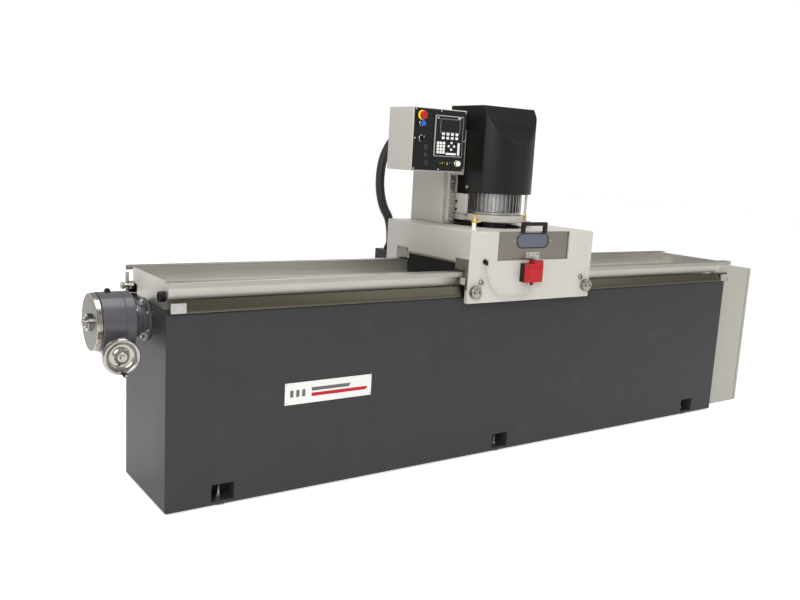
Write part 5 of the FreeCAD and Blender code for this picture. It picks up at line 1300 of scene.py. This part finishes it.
# -------- head
class GRINDER_OT_head(Piece, bpy.types.Operator):
    """Saddle, finned motor, spindle and wheel"""

    bl_idname = "grinder.head"
    bl_label = "Head"

    def make(self, sizes):
        self.saddle()
        self.motor(sizes)
        coloured("ground_steel", "spindle_shaft")
        coloured("abrasive", "grinding_wheel")
        self.fittings()

    def saddle(self):
        ring = hoop(
            "z", *SPINDLE_AXIS, [(62.1, 1060), (142, 1060), (146, 1064), (146, 1088), (143, 1092),
            (134, 1092), (134, 1091), (129, 1091), (129, 1092), (62.1, 1092)], 120)
        pieces = [ring, rounded(block(-105, 20, 1061, 225, 190, 1091), 2)]
        pieces.append(rounded(block(180, -74, 1060, 236, -36, 1064), 1))
        for side in (-1, 1):
            def wide(near, far, y0, y1, z0, z1, width=2.0):
                x0, x1 = sideways(side, near, far)
                pieces.append(rounded(block(x0, y0, z0, x1, y1, z1), width))
            wide(159, 173, -6, 190, 1092, 1182)
            wide(159, 173, 80, 190, 1181, 1470)
            wide(159, 221, 38, 50, 1266, 1470)
            wide(159, 173, 49, 81, 1266, 1470)
            for z in (1272, 1396):
                wide(177, 221, 50, 63, z, z + 68)
                wide(177, 182.5, 63, 88, z, z + 68)
                wide(215.5, 221, 63, 88, z, z + 68)
            for y, z in ((60, 1108), (60, 1144)):
                screw = side_screw(side, 173, 178, y, z, 6, 0.8, 3, 3)
                pieces.append(painted(screw, "dark_steel"))
        pieces.append(rounded(block(-113, 190, 1150, 233, 202, 1230), 2))
        nut = rounded(block(32, 202, 1160, 88, 250, 1220), 2)
        cut(nut, rod("z", *FEED_AXIS, 1150, 1230, 14.1))
        pieces.append(nut)
        for piece in pieces:
            if not piece.data.materials:
                painted(piece, "body_paint")
        settled(joined(*pieces), "saddle", "head_saddle")

    def motor(self, sizes):
        core = hoop(
            "z", *SPINDLE_AXIS, [(25.2, 1092), (124, 1092), (127, 1095), (127, 1103), (124, 1106),
            (108, 1106), (108, 1388), (124, 1390), (127, 1394), (127, 1430), (122, 1444),
            (113, 1450), (25.2, 1450)], 96)
        painted(core, "aluminium")
        fin = block(166, -2, 1104, 187, 2, 1391)
        eased(fin, 1.4, 2, lambda p, d: abs(d.z) > 0.9 and p.x > at(180, 0, 0).x)
        painted(fin, "aluminium")
        centre = at(SPINDLE_X, 0, 0)
        fins = [swung(copied(fin), math.tau * (k + 0.5) / sizes.fins, "z", centre)
                for k in range(sizes.fins)]
        bpy.data.objects.remove(fin)
        boss = hoop(
            "z", *SPINDLE_AXIS, [(25.2, 905), (58, 905), (62, 909), (62, 1092), (25.2, 1092)], 72)
        painted(boss, "dark_steel")
        bolts = []
        for x, y in circle(8, 118):
            bolt = rod("z", SPINDLE_X + x, y, 1105, 1113, 5, 6)
            bolts.append(painted(rounded(bolt, 0.6), "dark_steel"))
        settled(joined(core, boss, *fins, *bolts), "finned_motor", "spindle_motor", smooth=35)

    def fittings(self):
        """Brass unions with their clear tubes, and the coolant valve."""
        pieces = []
        for x, y in ((206, -62), (224, -48)):
            union = turned(
                "z", x, y, [(0, 1064), (6, 1064), (6, 1066), (7.4, 1066.6), (7.4, 1076), (6, 1077),
                (5.6, 1084), (6.4, 1085), (6.4, 1090), (5, 1092), (5, 1096), (0, 1096)], 24)
            tube = turned("z", x, y, [(0, 1094), (4, 1094), (4, 1250), (0, 1250)], 24)
            pieces += [painted(union, "brass"), painted(tube, "clear_tube")]
        settled(joined(*pieces), "tube_unions", "coolant_fittings")
        x, y = -236, -226
        pipe = turned(
            "z", x, y, [(0, 1036), (12, 1036), (13, 1037), (13, 1042), (9, 1044), (9, 1070),
            (0, 1070)], 40)
        painted(pipe, "cream_plastic")
        body = hoop(
            "z", x, y, [(4.1, 1070), (10, 1070), (11, 1071), (11, 1082), (9, 1084), (8, 1086),
            (8, 1092), (6, 1094), (4.1, 1094)], 40)
        spout = turned(
            "x", -226, 1077, [(0, x + 8), (6, x + 8), (7, x + 10), (7, x + 20), (5.4, x + 22),
            (7, x + 25), (5.4, x + 29), (6.6, x + 31), (5, x + 34), (0, x + 34)], 32)
        painted(body, "brass")
        painted(spout, "brass")
        settled(joined(pipe, body, spout), "coolant_tap", "coolant_valve")
        refined("tap_lever", "brass", 0.8)


class GRINDER_OT_cover(Piece, bpy.types.Operator):
    """Moulded cover over the motor, with plain slats on its slope"""

    bl_idname = "grinder.cover"
    bl_label = "Motor cover"

    def make(self, sizes):
        cover = self.form(0, 1190, 1583)
        self.sloped(cover, 0)
        rounded(cover, 5, 4, 28)
        core = self.form(-4, 1150, 1579)
        self.sloped(core, 4)
        cut(cover, core, block(-200, 84, 1150, 320, 300, 1268))
        painted(cover, "cover_plastic")
        slats = self.slats(sizes)
        screws = []
        for side in (-1, 1):
            screw = side_screw(side, 155, 159, 12, 1214, 8, 1, 4, 2)
            screws.append(painted(screw, "ground_steel"))
            x0, x1 = sideways(side, 127, 151.5)
            screws.append(painted(rod("x", 12, 1214, x0, x1, 6, 24), "dark_steel"))
        settled(joined(cover, slats, *screws), "cover_moulding", "motor_cover", smooth=45)

    def form(self, grow, z0, z1):
        """Plan of the cover: flat sides and back, bowed front."""
        half, front, corner, back = 155 + grow, -157 - grow, -85, 170
        rise = corner - front
        radius = (half * half + rise * rise) / (2 * rise)
        reach = math.asin(half / radius)
        steps = 32
        outline = [(SPINDLE_X - half, back)]
        for k in range(steps + 1):
            angle = -reach + 2 * reach * k / steps
            outline.append(
                (SPINDLE_X + radius * math.sin(angle), front + radius - radius * math.cos(angle)))
        outline.append((SPINDLE_X + half, back))
        return prism("z", outline, z0, z1)

    def sloped(self, cover, depth):
        """Slice the slope off the front of the top, lower by a depth."""
        alone(cover)
        bpy.ops.object.mode_set(mode="EDIT")
        bpy.ops.mesh.select_all(action="SELECT")
        across = Vector((0, -SLOPE, 1)).normalized()
        bpy.ops.mesh.bisect(
            plane_co=at(SPINDLE_X, -157, 1422) - across * depth * MM, plane_no=across,
            use_fill=True, clear_outer=True)
        bpy.ops.object.mode_set(mode="OBJECT")

    def slats(self, sizes):
        """Slim raised slats across the slope."""
        up = Vector((0, 1, SLOPE)).normalized()
        out = Vector((0, -SLOPE, 1)).normalized()
        turn = Matrix((AXES["x"], up, out)).transposed().to_4x4()
        pieces = []
        for k in range(sizes.slats):
            x = SPINDLE_X + (k - (sizes.slats - 1) / 2) * 20
            bpy.ops.mesh.primitive_cube_add(size=1)
            slat = bpy.context.object
            slat.scale = (0.005, 0.044, 0.004)
            bpy.ops.object.transform_apply(scale=True)
            rounded(slat, 1.4, 3)
            slat.matrix_world = Matrix.Translation(at(x, -117, 1493.2)) @ turn
            alone(slat)
            pieces.append(applied())
        return painted(joined(*pieces), "cover_plastic")


# -------- cabinet
class GRINDER_OT_cabinet(Piece, bpy.types.Operator):
    """End cabinet, its door and latch, and what it holds"""

    bl_idname = "grinder.cabinet"
    bl_label = "Cabinet"

    def make(self, sizes):
        shell = block(1597, -160, 0, 1925, 230, 800)
        eased(shell, 5, 4, lambda p, d: abs(d.x) > 0.9 or p.x < at(1600, 0, 0).x)
        cut(shell, block(1600, -157, 3, 1940, 227, 797))
        cut(shell, rod("y", 1677, 120, 220, 240, 8))
        pieces = [painted(shell, "cabinet_paint")]
        for z in HINGE_HEIGHTS:
            barrel = rounded(rod("z", *HINGE_AXIS, z - 40, z - 14, 5, 32), 0.6)
            pin = rod("z", *HINGE_AXIS, z - 16, z + 14, 2.5, 20)
            leaf = rounded(block(1899, 230, z - 40, 1929, 232, z - 14), 0.5)
            pieces += [painted(piece, "ground_steel") for piece in (barrel, pin, leaf)]
        settled(joined(*pieces), "cabinet_shell", "cabinet_body")
        self.door()
        refined("door_latch", "black_plastic", 1)
        coloured("grey_plastic", "cabinet_electrics")

    def door(self):
        leaf = block(1927, -160, 4, 1950, 230, 798)
        chosen(leaf, lambda p, n: n.x > 0.9, "FACE")
        bpy.ops.mesh.inset(thickness=0.03, depth=0)
        bpy.ops.mesh.inset(thickness=0.004, depth=-0.003)
        bpy.ops.object.mode_set(mode="OBJECT")
        eased(leaf, 4, 3, lambda p, d: abs(d.z) > 0.9 and p.x > at(1949, 0, 0).x
              and abs(p.y - BED_Y - 0.035) > 0.19)
        cut(leaf, rod("x", -126, 420, 1900, 1980, 9.06))
        slots = []
        for k in range(9):
            slots.append(rounded(block(1938, -60, 90 + 16 * k, 1990, 130, 96 + 16 * k), 2.5, 3))
        cut(leaf, joined(*slots))
        rounded(leaf, 0.8, 2, 50)
        pieces = [painted(leaf, "cabinet_paint")]
        for z in HINGE_HEIGHTS:
            barrel = hoop(
                "z", *HINGE_AXIS, [(2.6, z - 13.5), (4.4, z - 13.5), (5, z - 12.9), (5, z + 13.4),
                (4.4, z + 14), (2.6, z + 14)], 32)
            arm = rounded(block(1933, 230, z - 13.5, 1952, 232, z + 14), 0.5)
            pieces += [painted(barrel, "ground_steel"), painted(arm, "ground_steel")]
        settled(joined(*pieces), "cabinet_leaf", "cabinet_door")


# -------- panel and start
OPERATORS = (
    GRINDER_OT_stage, GRINDER_OT_cords, GRINDER_OT_bed, GRINDER_OT_guards, GRINDER_OT_trough,
    GRINDER_OT_tilt_gear, GRINDER_OT_handwheel, GRINDER_OT_chuck, GRINDER_OT_carriage,
    GRINDER_OT_column, GRINDER_OT_control_box, GRINDER_OT_door, GRINDER_OT_head,
    GRINDER_OT_cover, GRINDER_OT_cabinet,
)


class GRINDER_PT_pieces(bpy.types.Panel):
    """Lists the machine's settings and pieces"""

    bl_label = "Grinder"
    bl_space_type = "VIEW_3D"
    bl_region_type = "UI"
    bl_category = "Grinder"

    def draw(self, context):
        layout = self.layout
        for group in (context.scene.grinder_colours, context.scene.grinder_sizes):
            for key in group.__annotations__:
                layout.prop(group, key)
        for operator in OPERATORS:
            layout.operator(operator.bl_idname)


CLASSES = (GrinderColours, GrinderSizes, *OPERATORS, GRINDER_PT_pieces)


def register():
    for cls in CLASSES:
        bpy.utils.register_class(cls)
    bpy.types.Scene.grinder_colours = bpy.props.PointerProperty(type=GrinderColours)
    bpy.types.Scene.grinder_sizes = bpy.props.PointerProperty(type=GrinderSizes)


def unregister():
    del bpy.types.Scene.grinder_sizes
    del bpy.types.Scene.grinder_colours
    for cls in reversed(CLASSES):
        bpy.utils.unregister_class(cls)


def main():
    register()
    for operator in OPERATORS:
        group, name = operator.bl_idname.split(".")
        getattr(getattr(bpy.ops, group), name)()


if __name__ == "__main__":
    main()
